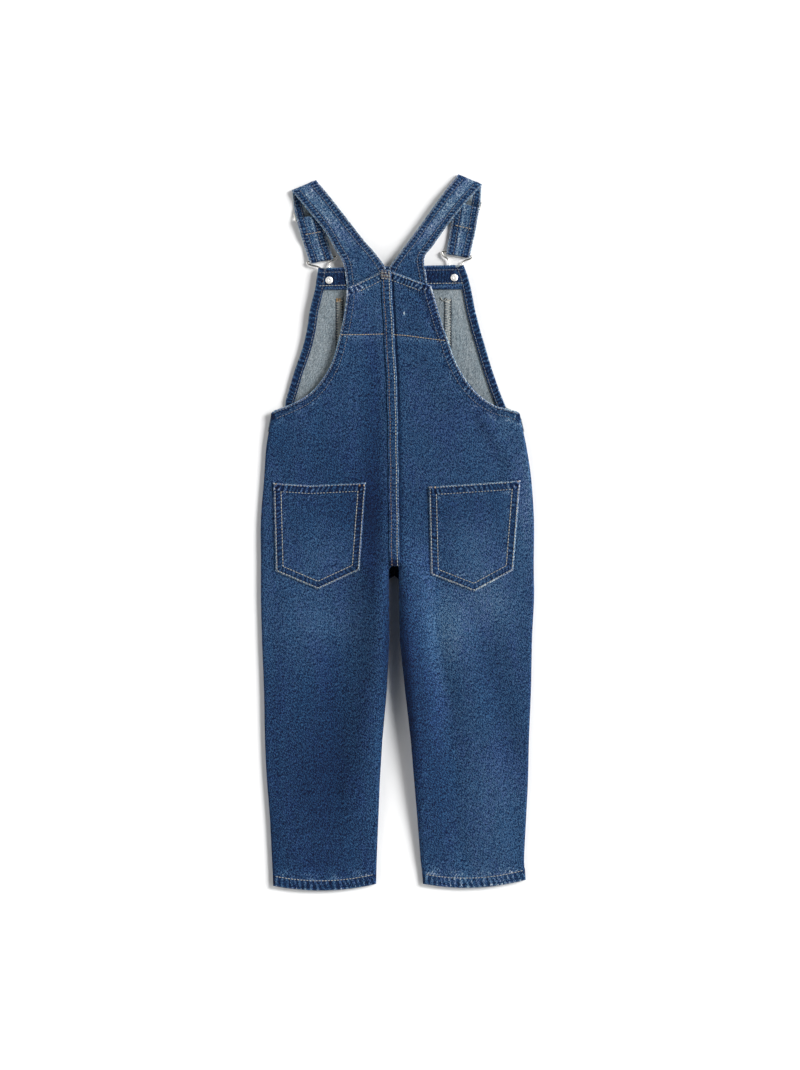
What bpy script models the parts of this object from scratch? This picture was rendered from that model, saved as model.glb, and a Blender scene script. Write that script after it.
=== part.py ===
"""Child's denim dungarees, laid flat on their front so that the back faces up.

All sizes in the tables are in millimetres. +X is the wearer's right, +Y points from the hems to the
shoulders and Z is the height above the surface that the garment lies on.
"""
import math
from collections import namedtuple

import bmesh
import bpy
from mathutils import Vector

MM = 0.001

# Cloth and sewing
DENIM = 1.2  # one ply of the washed denim with its nap
TURN_IN = 1.0  # a hem's turned-in ply
STRAP_PLY = 1.4  # strap cloth, folded and pressed
GAP = 0.3  # room between pieces that are sewn to each other
LAY_GAP = 0.4  # room under a piece that lies on a curved panel

# Heights of the flat-laid body
BACK_CROWN = 6.0  # outer face of the back above the surface
SEAM_HEIGHT = 3.0  # height at which back and front meet along side seam and inseam
SEAM_TURN = 4.0  # width over which a seam edge rounds off
TURN_ANGLES = (0, 30, 60, 90)  # degrees round that edge, one column of points each

# Places along the length
CROTCH_Y = -33.0  # where the back's halves part
INSEAM_Y = -43.0
FRONT_CROTCH_Y = -50.0  # the front's halves part lower
INSEAM_TURN = 10.0  # length over which the seam edge rounds off below a crotch
WAIST_Y = 115.0
TURN_ENDS_Y = 122.0
ARMHOLE_Y = 142.0
SEAM_TOP_Y = 300.0
HEM_Y = -409.0
HEM_FADE = 60.0  # the leg hem's bow dies out over this length

# Hems
ARMHOLE_HEM = 11.0
ARMHOLE_HEM_RANGE = (146.0, 266.0)
ARMHOLE_HEM_MAX = 24.0  # its widest reach along a row that meets the edge at a slant
BIB_HEM = 9.8
BIB_HEM_START_Y = 143.0
BIB_FACING_START_Y = 278.3
LEG_HEM = 11.5
SEAM_FELL = 11.4
FELL_PLY = 0.9

# Grid fineness
ROW_STEP = 17.0
SHARP_ANGLE = 40  # degrees; softer edges are shaded smooth
PANEL_COLUMNS = 7  # columns between the two seam edges
BIB_COLUMNS = 8

# Hardware
WIRE_RADIUS = 1.0
SLIDER_WIRE_RADIUS = 0.8
BUTTON_RADIUS = 8.5
BUTTON_CAP = 2.6
BUTTON_EDGE = 0.9  # rounding of its rim
SHANK_RADIUS = 3.2
RIVET_RADIUS = 4.2
RIVET_HEIGHT = 1.2
RIVET_DIMPLE = 0.5
TURNED_STEPS = 20

Row = namedtuple("Row", "outer_x outer_y inner_x inner_y")
# From leg hem to top edge. From its crotch up, a panel's inner edge follows the centre seam instead.
LEFT_ROWS = (
    Row(-143.0, -406.6, -24.5, -404.4),
    Row(-143.4, -393.0, -24.2, -392.0),
    Row(-144.3, -377.0, -23.8, -377.0),
    Row(-146.6, -331.0, -22.0, -331.0),
    Row(-150.1, -285.0, -20.1, -285.0),
    Row(-152.4, -239.0, -17.3, -239.0),
    Row(-153.5, -182.0, -12.1, -182.0),
    Row(-155.8, -124.0, -9.1, -124.0),
    Row(-157.0, -78.0, -9.4, -78.0),
    Row(-157.0, FRONT_CROTCH_Y, -9.8, FRONT_CROTCH_Y),
    Row(-157.0, INSEAM_Y, -9.8, INSEAM_Y),
    Row(-157.0, CROTCH_Y, 0.0, CROTCH_Y),
    Row(-157.0, 14.0, 0.0, 14.0),
    Row(-153.5, 60.0, 0.0, 60.0),
    Row(-151.2, 94.0, 0.0, 94.0),
    Row(-148.1, WAIST_Y, 0.0, WAIST_Y),
    Row(-145.6, 130.0, 0.0, 131.0),
    Row(-143.6, 138.0, 0.0, 139.0),
    Row(-128.0, 144.6, 0.0, 146.5),
    Row(-117.5, 149.4, 0.0, 152.5),
    Row(-106.0, 155.6, 0.0, 160.0),
    Row(-94.5, 165.3, 0.0, 170.0),
    Row(-84.4, 178.6, 0.0, 183.0),
    Row(-76.2, 193.0, 0.0, 197.0),
    Row(-71.0, 208.4, 0.0, 213.0),
    Row(-66.7, 225.6, 0.0, 231.0),
    Row(-63.4, 240.0, 0.0, 247.0),
    Row(-61.2, 251.7, 0.0, 262.0),
    Row(-58.9, 267.0, 0.0, 283.0),
    Row(-58.5, 279.5, 0.0, 301.6),
)
RIGHT_ROWS = (
    Row(147.4, -399.7, 29.3, -404.3),
    Row(146.6, -388.0, 28.2, -391.0),
    Row(145.5, -377.0, 26.5, -377.0),
    Row(147.8, -331.0, 22.9, -331.0),
    Row(150.1, -285.0, 19.0, -285.0),
    Row(151.2, -239.0, 15.2, -239.0),
    Row(153.5, -182.0, 8.6, -182.0),
    Row(154.7, -124.0, 2.5, -124.0),
    Row(157.0, -78.0, 1.7, -78.0),
    Row(156.8, FRONT_CROTCH_Y, 1.5, FRONT_CROTCH_Y),
    Row(156.7, INSEAM_Y, 1.5, INSEAM_Y),
    Row(156.7, CROTCH_Y, 0.0, CROTCH_Y),
    Row(156.9, 14.0, 0.0, 14.0),
    Row(153.9, 60.0, 0.0, 60.0),
    Row(149.0, 94.0, 0.0, 94.0),
    Row(144.8, WAIST_Y, 0.0, WAIST_Y),
    Row(141.5, 130.0, 0.0, 130.0),
    Row(139.0, 137.4, 0.0, 139.0),
    Row(124.7, 141.8, 0.0, 146.0),
    Row(111.4, 145.6, 0.0, 152.0),
    Row(93.8, 157.2, 0.0, 166.0),
    Row(78.5, 174.8, 0.0, 184.0),
    Row(65.3, 199.0, 0.0, 206.0),
    Row(58.7, 218.8, 0.0, 228.0),
    Row(52.1, 236.4, 0.0, 248.0),
    Row(44.6, 262.0, 0.0, 276.0),
    Row(38.7, 282.5, 0.0, 301.8),
)
HEM_BOW = {"left": -6.5, "right": -7.2}  # the hem dips below its corners

SeamPoint = namedtuple("SeamPoint", "y x")
CENTRE_SEAM = (
    SeamPoint(CROTCH_Y, -3.45),
    SeamPoint(113.0, -5.2),
    SeamPoint(167.0, -6.3),
    SeamPoint(302.0, -13.7),
)

BibRow = namedtuple("BibRow", "left_x left_y right_x right_y")
BIB_ROWS = (
    BibRow(-148.1, WAIST_Y + GAP, 144.8, WAIST_Y + GAP),
    BibRow(-145.6, 129.0, 141.8, 129.0),
    BibRow(-143.2, 137.4, 138.6, 137.0),
    BibRow(-130.5, BIB_HEM_START_Y, 124.8, BIB_HEM_START_Y),
    BibRow(-128.2, 151.8, 121.3, 151.8),
    BibRow(-124.8, 163.3, 116.7, 163.3),
    BibRow(-117.9, 186.3, 108.7, 186.3),
    BibRow(-109.8, 209.3, 101.8, 209.3),
    BibRow(-104.1, 232.3, 94.9, 232.3),
    BibRow(-100.6, 255.3, 89.1, 255.3),
    BibRow(-94.9, BIB_FACING_START_Y, 84.2, 280.6),
    BibRow(-92.7, 292.0, 80.4, 295.0),
    BibRow(-91.0, 303.5, 76.0, 306.8),
)

Level = namedtuple("Level", "y z")
# Underside of the bib: it lies on its pocket and is propped on the two buttons.
BIB_LEVELS = (
    Level(-500.0, 0.0),
    Level(128.0, 0.0),
    Level(152.0, 1.7),
    Level(220.0, 3.5),
    Level(283.0, 5.4),
    Level(500.0, 5.4),
)

Fold = namedtuple("Fold", "x0 y0 x1 y1 half_width height")
# The largest soft folds of the body. A ridge lifts the front with the back.
FOLDS = (
    Fold(-58.0, -120.0, -72.0, -300.0, 30.0, -1.6),
    Fold(-110.0, -90.0, -112.0, -190.0, 34.0, 1.2),
    Fold(-38.0, -190.0, -48.0, -330.0, 24.0, 1.4),
    Fold(-118.0, -250.0, -112.0, -350.0, 30.0, 0.9),
    Fold(32.0, -100.0, 62.0, -250.0, 26.0, -1.5),
    Fold(62.0, -100.0, 92.0, -200.0, 30.0, 1.7),
    Fold(104.0, -110.0, 132.0, -250.0, 24.0, -1.3),
    Fold(92.0, -270.0, 104.0, -370.0, 34.0, 1.2),
    Fold(-106.0, 90.0, -100.0, 108.0, 26.0, 0.8),
    Fold(60.0, 120.0, 74.0, 86.0, 24.0, 0.8),
)

PocketShape = namedtuple("PocketShape", "top_outer top_middle top_inner foot_inner foot_middle foot_outer")
BACK_POCKETS = {
    "left": PocketShape(
        (-142.6, 56.4), (-100.0, 53.8), (-36.1, 56.8), (-43.6, -43.9), (-91.2, -66.0), (-140.0, -45.3)
    ),
    "right": PocketShape(
        (141.2, 59.3), (88.5, 55.6), (35.9, 52.2), (38.3, -48.9), (88.3, -68.4), (133.2, -44.0)
    ),
}
POCKET_HEM = 11.0
POCKET_HEM_RAISE = 0.6
POCKET_ACROSS = 8
POCKET_UP = 7

BibPocket = namedtuple("BibPocket", "left right top foot")
BIB_POCKET = BibPocket(left=-68.0, right=57.0, top=268.0, foot=154.0)

Ruling = namedtuple("Ruling", "outer_x outer_y inner_x inner_y z")
# Back stretch of each strap, from its end under the top edge of the back up to the fold.
STRAP_UPPER = {
    "left": (
        Ruling(-57.0, 274.0, -15.0, 291.5, 8.95),
        Ruling(-58.9, 288.0, -13.2, 302.0, 8.95),
        Ruling(-62.3, 308.2, -24.7, 319.1, 8.7),
        Ruling(-71.9, 325.1, -39.1, 335.8, 8.3),
        Ruling(-84.3, 346.4, -55.3, 356.5, 8.0),
        Ruling(-102.9, 369.2, -74.2, 380.9, 7.7),
        Ruling(-112.2, 380.6, -83.5, 392.3, 6.4),
        Ruling(-120.7, 390.9, -92.2, 402.7, 4.5),
    ),
    "right": (
        Ruling(34.5, 274.5, -10.4, 291.5, 8.95),
        Ruling(33.6, 291.0, -10.2, 302.5, 8.95),
        Ruling(30.8, 314.0, 1.2, 318.6, 8.7),
        Ruling(40.9, 328.8, 14.4, 336.4, 8.4),
        Ruling(59.7, 355.2, 30.5, 358.3, 8.1),
        Ruling(77.6, 377.2, 50.0, 385.8, 7.7),
        Ruling(87.0, 387.6, 59.5, 397.8, 6.4),
        Ruling(96.2, 397.5, 68.7, 409.3, 4.5),
    ),
}
# Front stretch, from the buckle up to the fold, in plan.
Edge = namedtuple("Edge", "outer_x outer_y inner_x inner_y")
STRAP_FRONT = {
    "left": (
        Edge(-100.2, 308.3, -73.6, 313.6),
        Edge(-108.7, 333.5, -81.7, 338.1),
        Edge(-115.6, 357.7, -87.4, 363.4),
        Edge(-119.7, 376.1, -91.2, 385.3),
        Edge(-120.7, 390.9, -92.2, 402.7),
    ),
    "right": (
        Edge(82.6, 314.9, 55.9, 319.0),
        Edge(89.1, 343.3, 61.0, 349.6),
        Edge(94.0, 370.9, 65.6, 377.8),
        Edge(95.8, 382.4, 68.2, 393.3),
        Edge(96.2, 397.5, 68.7, 409.3),
    ),
}
FOLD_RADIUS = 1.9
FOLD_STEPS = 6
SLIDER_PLACE = {"left": 52.0, "right": 58.0}  # distance of the slider's lower bar from the strap's end
SLIDER_BARS = 10.0  # distance between its two bars
SLIDER_CORNER = 1.0
TAIL = 21.0  # the sewn end that wraps the lower bar
BRIDGE_RUN = 7.0  # the strap climbs to a bar, or onto its own sewn end, within this length
BRIDGE_CREST = 2.6  # half of the flat top over the bar
LOOP_STEPS = 6

WirePoint = namedtuple("WirePoint", "x y z")
# Corners of the buckle's bent wire, the bar that hangs in the strap first.
BUCKLE_WIRES = {
    "left": (
        WirePoint(-104.0, 310.3, 2.7),
        WirePoint(-70.0, 317.1, 2.7),
        WirePoint(-70.4, 313.0, 2.8),
        WirePoint(-78.2, 310.6, 3.1),
        WirePoint(-78.9, 303.5, 3.8),
        WirePoint(-71.9, 293.5, 4.1),
        WirePoint(-73.5, 282.9, 4.1),
        WirePoint(-83.3, 282.9, 4.1),
        WirePoint(-84.9, 293.5, 4.1),
        WirePoint(-87.4, 302.5, 3.8),
        WirePoint(-92.0, 305.2, 3.3),
        WirePoint(-100.2, 306.6, 3.1),
        WirePoint(-103.4, 308.2, 2.8),
    ),
    "right": (
        WirePoint(85.6, 317.2, 2.7),
        WirePoint(50.3, 322.6, 2.7),
        WirePoint(52.2, 317.3, 2.9),
        WirePoint(58.8, 313.4, 3.1),
        WirePoint(60.0, 305.6, 3.8),
        WirePoint(58.8, 296.5, 4.1),
        WirePoint(60.4, 285.8, 4.1),
        WirePoint(70.2, 285.8, 4.1),
        WirePoint(71.8, 296.5, 4.1),
        WirePoint(74.2, 305.6, 3.8),
        WirePoint(74.7, 310.8, 3.1),
        WirePoint(85.2, 314.4, 2.8),
    ),
}
BEND_CUT = 4.0  # longest stretch before and after a corner that the wire's bend takes up
BEND_STEPS = 4
BUTTONS = {"left": (-78.4, 289.2), "right": (65.3, 292.1)}

# Colours
DENIM_FACE = (0.052, 0.085, 0.17, 1.0)
DENIM_WORN = (0.09, 0.13, 0.22, 1.0)
DENIM_INSIDE = (0.24, 0.27, 0.28, 1.0)
STEEL = (0.72, 0.72, 0.70, 1.0)


def mix(a, b, t):
    return a + (b - a) * t


def smoothstep(low, high, value):
    t = min(1.0, max(0.0, (value - low) / (high - low)))
    return t * t * (3.0 - 2.0 * t)


def through(a, b, c, d, t):
    """Catmull-Rom value between b and c."""
    return 0.5 * (2 * b + (c - a) * t + (2 * a - 5 * b + 4 * c - d) * t**2 + (3 * b - a - 3 * c + d) * t**3)


def bent(corners, cut, steps):
    """A closed route with each corner rounded off between two points at most the cut from it."""
    points = []
    for i, corner in enumerate(corners):
        before, after = corners[i - 1], corners[(i + 1) % len(corners)]
        start = corner + (before - corner) * min(0.45, cut / (before - corner).length)
        end = corner + (after - corner) * min(0.45, cut / (after - corner).length)
        for k in range(steps + 1):
            t = k / steps
            points.append(start.lerp(corner, t).lerp(corner.lerp(end, t), t))
    return points


def read_table(table, key, value, at):
    """Straight-line reading of a short table whose first column rises."""
    for low, high in zip(table, table[1:]):
        if at <= getattr(high, key) or high is table[-1]:
            span = getattr(high, key) - getattr(low, key)
            return mix(getattr(low, value), getattr(high, value), (at - getattr(low, key)) / span)


def bib_level(y):
    return read_table(BIB_LEVELS, "y", "z", y)


def seam_x(y):
    return read_table(CENTRE_SEAM, "y", "x", y)


def fold_height(x, y):
    """Sum of the soft folds at a place, each a smooth hump or trough round its line."""
    total = 0.0
    for fold in FOLDS:
        along = Vector((fold.x1 - fold.x0, fold.y1 - fold.y0))
        offset = Vector((x - fold.x0, y - fold.y0))
        t = min(1.0, max(0.0, offset.dot(along) / along.length_squared))
        away = (offset - along * t).length / fold.half_width
        if away < 1.0:
            total += fold.height * (1.0 - away * away) ** 2
    return total


def back_face(x, y):
    return BACK_CROWN + bib_level(y) + fold_height(x, y)


def front_underside(x, y):
    return max(0.0, fold_height(x, y))


def closer_rows(rows, step):
    """The same edges with more rows: smooth along the outer edge, straight along the inner one."""
    close = []
    for i, (low, high) in enumerate(zip(rows, rows[1:])):
        before = rows[max(i - 1, 0)]
        after = rows[min(i + 2, len(rows) - 1)]
        span = math.dist(low[:2], high[:2])
        count = max(1, round(span / step))
        for k in range(count):
            t = k / count
            outer = [through(before[j], low[j], high[j], after[j], t) for j in (0, 1)]
            inner = [mix(low[j], high[j], t) for j in (2, 3)]
            close.append(type(low)(*outer, *inner))
    close.append(rows[-1])
    return close


def placed_rows(rows, side, crotch_y):
    """Panel rows with the inner ends set on the centre seam from the crotch up."""
    shift = -GAP / 2 if side == "left" else GAP / 2
    placed = []
    for row in closer_rows(rows, ROW_STEP):
        if row.inner_y >= crotch_y:
            row = row._replace(inner_x=seam_x(row.inner_y) + shift)
        placed.append(row)
    return placed


def crossing_sine(row, below, above):
    """Sine of the angle between a row and the outer edge that it meets."""
    across = Vector((row.inner_x - row.outer_x, row.inner_y - row.outer_y)).normalized()
    edge = Vector((above.outer_x - below.outer_x, above.outer_y - below.outer_y)).normalized()
    return abs(across.cross(edge))


# A place on a panel: its plan point, the wall's inset there and how much of the full height it has.
Place = namedtuple("Place", "x y inset_x inset_y fullness")


def panel_places(side, crotch_y):
    """Rows of places over one half of the body, columns from the side seam to the inner edge."""
    rows = placed_rows(LEFT_ROWS if side == "left" else RIGHT_ROWS, side, crotch_y)
    grid = []
    for i, row in enumerate(rows):
        below = rows[max(i - 1, 0)]
        above = rows[min(i + 1, len(rows) - 1)]
        turned = 1.0 - smoothstep(TURN_ENDS_Y, ARMHOLE_Y, row.outer_y)
        inner_turned = 1.0 - smoothstep(crotch_y - INSEAM_TURN, crotch_y, row.inner_y)
        hem_zone = min(ARMHOLE_HEM_MAX, ARMHOLE_HEM / crossing_sine(row, below, above))
        outer_zone = mix(hem_zone, SEAM_TURN, turned)
        start = Vector((row.outer_x, row.outer_y))
        across = Vector((row.inner_x, row.inner_y)) - start
        width = across.length
        across.normalize()
        bow = HEM_BOW[side] * (1.0 - smoothstep(0.0, HEM_FADE, row.outer_y - HEM_Y))

        def place(distance, angle, amount, towards):
            """One place; angle and amount say how far the seam edge has rounded off there."""
            share = distance / width
            point = start + across * distance
            cosine = math.cos(math.radians(angle))
            inset = across * (towards * cosine * amount)
            fullness = 1.0 - amount * (1.0 - math.sin(math.radians(angle)))
            return Place(point.x, point.y + bow * 4 * share * (1 - share), inset.x, inset.y, fullness)

        places = []
        for angle in TURN_ANGLES:
            distance = outer_zone * (1 - math.cos(math.radians(angle)))
            places.append(place(distance, angle, turned, 1))
        for k in range(1, PANEL_COLUMNS + 1):
            distance = mix(outer_zone, width - SEAM_TURN, k / (PANEL_COLUMNS + 1))
            places.append(place(distance, 90, 0.0, 0))
        for angle in reversed(TURN_ANGLES):
            distance = width - SEAM_TURN * (1 - math.cos(math.radians(angle)))
            places.append(place(distance, angle, inner_turned, -1))
        grid.append(places)
    return grid


def wall_pair(places, height_of, thickness, down):
    """Outer and inner grids of a wall over a grid of places; down says that its outer face looks down."""
    outer, inner = [], []
    for row in places:
        outer_row, inner_row = [], []
        for place in row:
            z = height_of(place)
            through_wall = thickness * place.fullness * (1 if down else -1)
            outer_row.append(Vector((place.x, place.y, z)))
            inset = Vector((place.inset_x, place.inset_y, 0.0)) * thickness
            inner_row.append(Vector((place.x, place.y, z + through_wall)) + inset)
        outer.append(outer_row)
        inner.append(inner_row)
    return outer, inner


def back_height(place):
    seam = SEAM_HEIGHT + GAP
    return mix(seam, back_face(place.x, place.y), place.fullness)


def front_height(place):
    return mix(SEAM_HEIGHT, front_underside(place.x, place.y), place.fullness)


def moved(grid, shift):
    return [[point + Vector((0.0, 0.0, shift)) for point in row] for row in grid]


# Making objects


def finish(name, mesh_or_curve, colour, roughness, metallic=0.0):
    material = bpy.data.materials.new(f"{name}_finish")
    material.use_nodes = True
    shader = material.node_tree.nodes["Principled BSDF"]
    shader.inputs["Base Color"].default_value = colour
    shader.inputs["Roughness"].default_value = roughness
    shader.inputs["Metallic"].default_value = metallic
    mesh_or_curve.materials.append(material)
    piece = bpy.data.objects.new(name, mesh_or_curve)
    bpy.context.scene.collection.objects.link(piece)
    return piece


def mesh_piece(name, bm, colour, roughness, metallic=0.0):
    bmesh.ops.recalc_face_normals(bm, faces=bm.faces)
    mesh = bpy.data.meshes.new(name)
    bm.to_mesh(mesh)
    bm.free()
    mesh.shade_smooth()
    mesh.set_sharp_from_angle(angle=math.radians(SHARP_ANGLE))
    return finish(name, mesh, colour, roughness, metallic)


def cloth_wall(name, outer, inner, colour):
    """A closed wall of cloth between two grids that have the same rows and columns."""
    rows, columns = len(outer), len(outer[0])
    bm = bmesh.new()
    skins = []
    for grid in (outer, inner):
        made = bmesh.ops.create_grid(bm, x_segments=columns - 1, y_segments=rows - 1, size=1.0)
        points = [point for row in grid for point in row]
        for vert, point in zip(made["verts"], points):
            vert.co = point * MM
        skins.append(made["verts"])
    rim = [(0, c) for c in range(columns)]
    rim += [(r, columns - 1) for r in range(1, rows)]
    rim += [(rows - 1, c) for c in range(columns - 2, -1, -1)]
    rim += [(r, 0) for r in range(rows - 2, 0, -1)]
    for here, there in zip(rim, rim[1:] + rim[:1]):
        a, b = here[0] * columns + here[1], there[0] * columns + there[1]
        bm.faces.new((skins[0][a], skins[0][b], skins[1][b], skins[1][a]))
    return mesh_piece(name, bm, colour, 0.9)


def turned_piece(name, profile, centre, colour):
    """A round metal piece spun from its (radius, height) profile, which starts and ends on the axis."""
    bm = bmesh.new()
    verts = [bm.verts.new((radius * MM, 0.0, height * MM)) for radius, height in profile]
    edges = [bm.edges.new(pair) for pair in zip(verts, verts[1:])]
    bmesh.ops.spin(
        bm,
        geom=verts + edges,
        cent=(0, 0, 0),
        axis=(0, 0, 1),
        angle=math.tau,
        steps=TURNED_STEPS,
        use_merge=True,
    )
    bmesh.ops.remove_doubles(bm, verts=bm.verts, dist=0.00001)
    bmesh.ops.translate(bm, verts=bm.verts, vec=(centre[0] * MM, centre[1] * MM, 0.0))
    return mesh_piece(name, bm, colour, 0.3, 1.0)


def wire_loop(name, points, radius):
    """A closed loop of round wire through the points."""
    curve = bpy.data.curves.new(name, "CURVE")
    curve.dimensions = "3D"
    curve.bevel_depth = radius * MM
    curve.bevel_resolution = 2
    spline = curve.splines.new("POLY")
    spline.points.add(len(points) - 1)
    for target, point in zip(spline.points, points):
        target.co = (point[0] * MM, point[1] * MM, point[2] * MM, 1.0)
    spline.use_cyclic_u = True
    return finish(name, curve, STEEL, 0.3, 1.0)


# Body panels


def body_panels(side):
    back = panel_places(side, CROTCH_Y)
    outer, inner = wall_pair(back, back_height, DENIM, down=False)
    cloth_wall(f"back_{side}", outer, inner, DENIM_FACE)
    front = [row for row in panel_places(side, FRONT_CROTCH_Y) if row[0].y <= WAIST_Y + 0.01]
    outer, inner = wall_pair(front, front_height, DENIM, down=True)
    cloth_wall(f"front_{side}", outer, inner, DENIM_FACE)
    leg_hems(side, back)
    armhole_hem(side, back)


def leg_hems(side, places):
    """The turned-up hem plies inside the leg's end, one under the back and one on the front."""
    edge = len(TURN_ANGLES)
    lower = []
    for row in places[:2]:
        lower.append(row[edge:-edge])
    rise = LEG_HEM / (lower[1][0].y - lower[0][0].y)
    upper = [p._replace(y=mix(p.y, q.y, rise)) for p, q in zip(lower[0], lower[1])]
    band = [lower[0], upper]
    outer, inner = wall_pair(band, back_height, DENIM + GAP, down=False)
    cloth_wall(f"leg_hem_back_{side}", inner, moved(inner, -TURN_IN), DENIM_FACE)
    outer, inner = wall_pair(band, front_height, DENIM + GAP, down=True)
    cloth_wall(f"leg_hem_front_{side}", inner, moved(inner, TURN_IN), DENIM_FACE)


def armhole_hem(side, places):
    """The ply turned in along the armhole, under the edge of the back."""
    low, high = ARMHOLE_HEM_RANGE
    zone = len(TURN_ANGLES)
    band = [row[:zone] for row in places if low <= row[0].y <= high]
    outer, inner = wall_pair(band, back_height, DENIM + GAP, down=False)
    cloth_wall(f"armhole_hem_{side}", inner, moved(inner, -TURN_IN), DENIM_WORN)


def centre_back_seam():
    """The felled seam: a doubled strip that covers the join of the two halves."""
    count = round((SEAM_TOP_Y - CROTCH_Y) / ROW_STEP)
    face = []
    for i in range(count + 1):
        y = mix(CROTCH_Y + 1.0, SEAM_TOP_Y, i / count)
        xs = [seam_x(y) + SEAM_FELL * share for share in (-0.5, 0.0, 0.5)]
        face.append([Vector((x, y, back_face(x, y) + LAY_GAP)) for x in xs])
    cloth_wall("centre_back_seam", moved(face, FELL_PLY), face, DENIM_WORN)


def back_pocket(side):
    """A pointed patch pocket lying on the seat, its top hem one turned ply thicker."""
    shape = BACK_POCKETS[side]

    def along(start, middle, end, share):
        a, b, t = (start, middle, share * 2) if share < 0.5 else (middle, end, share * 2 - 1)
        return Vector(a).lerp(Vector(b), t)

    height = shape.top_outer[1] - shape.foot_outer[1]
    ups = [i / POCKET_UP * (1 - POCKET_HEM / height) for i in range(POCKET_UP + 1)]
    ups += [ups[-1] + 0.01, 1.0]
    under, face = [], []
    for up in ups:
        under_row, face_row = [], []
        raised = POCKET_HEM_RAISE if up > ups[POCKET_UP] else 0.0
        for i in range(POCKET_ACROSS + 1):
            share = i / POCKET_ACROSS
            foot = along(shape.foot_outer, shape.foot_middle, shape.foot_inner, share)
            top = along(shape.top_outer, shape.top_middle, shape.top_inner, share)
            x, y = foot.lerp(top, up)
            z = back_face(x, y) + LAY_GAP
            under_row.append(Vector((x, y, z)))
            face_row.append(Vector((x, y, z + DENIM + raised)))
        under.append(under_row)
        face.append(face_row)
    cloth_wall(f"back_pocket_{side}", face, under, DENIM_WORN)


# Bib


def bib_places():
    """Rows of places over the bib, columns from its left edge to its right one."""
    grid = []
    for row in closer_rows(BIB_ROWS, ROW_STEP * 1.5):
        turned = 1.0 - smoothstep(TURN_ENDS_Y, ARMHOLE_Y - 2.0, row.left_y)
        zone = mix(BIB_HEM, SEAM_TURN, turned)
        start = Vector((row.left_x, row.left_y))
        across = Vector((row.right_x, row.right_y)) - start
        width = across.length
        across.normalize()
        places = []

        def add(distance, angle, amount, towards):
            point = start + across * distance
            inset = across * (towards * math.cos(math.radians(angle)) * amount)
            fullness = 1.0 - amount * (1.0 - math.sin(math.radians(angle)))
            places.append(Place(point.x, point.y, inset.x, inset.y, fullness))

        for angle in TURN_ANGLES:
            add(zone * (1 - math.cos(math.radians(angle))), angle, turned, 1)
        for k in range(1, BIB_COLUMNS + 1):
            add(mix(zone, width - zone, k / (BIB_COLUMNS + 1)), 90, 0.0, 0)
        for angle in reversed(TURN_ANGLES):
            add(width - zone * (1 - math.cos(math.radians(angle))), angle, turned, -1)
        grid.append(places)
    return grid


def bib_height(place):
    return mix(SEAM_HEIGHT, bib_level(place.y), place.fullness)


def bib():
    places = bib_places()
    outer, inner = wall_pair(places, bib_height, DENIM, down=True)
    cloth_wall("bib", outer, inner, DENIM_INSIDE)
    zone = len(TURN_ANGLES)
    sides = [row for row in places if row[0].y >= BIB_HEM_START_Y - 0.01]
    for name, columns in (("left", slice(0, zone)), ("right", slice(-zone, None))):
        band = [row[columns] for row in sides]
        outer, inner = wall_pair(band, bib_height, DENIM + GAP, down=True)
        cloth_wall(f"bib_hem_{name}", moved(inner, TURN_IN), inner, DENIM_FACE)
    bib_facing(places)
    bib_pocket()


def bib_facing(places):
    """The strip that finishes the bib's top edge on the inside, between the side hems."""
    zone = len(TURN_ANGLES)
    rows = []
    for row in places:
        if row[0].y < BIB_FACING_START_Y - 0.01:
            continue
        between = row[zone - 1 : 1 - zone]
        first = between[0]._replace(x=between[0].x + GAP)
        last = between[-1]._replace(x=between[-1].x - GAP)
        rows.append([first] + between[1:-1] + [last])
    outer, inner = wall_pair(rows, bib_height, DENIM + GAP, down=True)
    cloth_wall("bib_facing", moved(inner, TURN_IN), inner, DENIM_FACE)


def bib_pocket():
    """The plain patch pocket on the bib's outer side, which faces the surface."""
    face, under = [], []
    count = round((BIB_POCKET.top - BIB_POCKET.foot) / ROW_STEP)
    for i in range(count + 1):
        y = mix(BIB_POCKET.foot, BIB_POCKET.top, i / count)
        xs = [mix(BIB_POCKET.left, BIB_POCKET.right, share) for share in (0.0, 0.5, 1.0)]
        face.append([Vector((x, y, bib_level(y) - GAP - DENIM)) for x in xs])
        under.append([Vector((x, y, bib_level(y) - GAP)) for x in xs])
    cloth_wall("bib_pocket", face, under, DENIM_FACE)


# Straps


def front_ruling(side, distance, z):
    """The strap's two edge points at a distance from its lower end."""
    table = STRAP_FRONT[side]
    passed = 0.0
    for low, high in zip(table, table[1:]):
        middle_low = Vector(((low[0] + low[2]) / 2, (low[1] + low[3]) / 2))
        middle_high = Vector(((high[0] + high[2]) / 2, (high[1] + high[3]) / 2))
        span = (middle_high - middle_low).length
        if distance <= passed + span or high is table[-1]:
            t = (distance - passed) / span
            x0, y0, x1, y1 = (mix(low[j], high[j], t) for j in range(4))
            return Vector((x0, y0, z)), Vector((x1, y1, z))
        passed += span


def front_length(side):
    table = STRAP_FRONT[side]
    middles = [Vector(((e[0] + e[2]) / 2, (e[1] + e[3]) / 2)) for e in table]
    return sum((b - a).length for a, b in zip(middles, middles[1:]))


def half_turn(centre, centre_z, radius, towards, up):
    """Distances and heights round a bar, between the lowest and the highest point."""
    turn = []
    for k in range(1, LOOP_STEPS):
        angle = math.pi * k / LOOP_STEPS
        rise = -math.cos(angle) if up else math.cos(angle)
        turn.append((centre + towards * radius * math.sin(angle), centre_z + radius * rise))
    return turn


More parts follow.
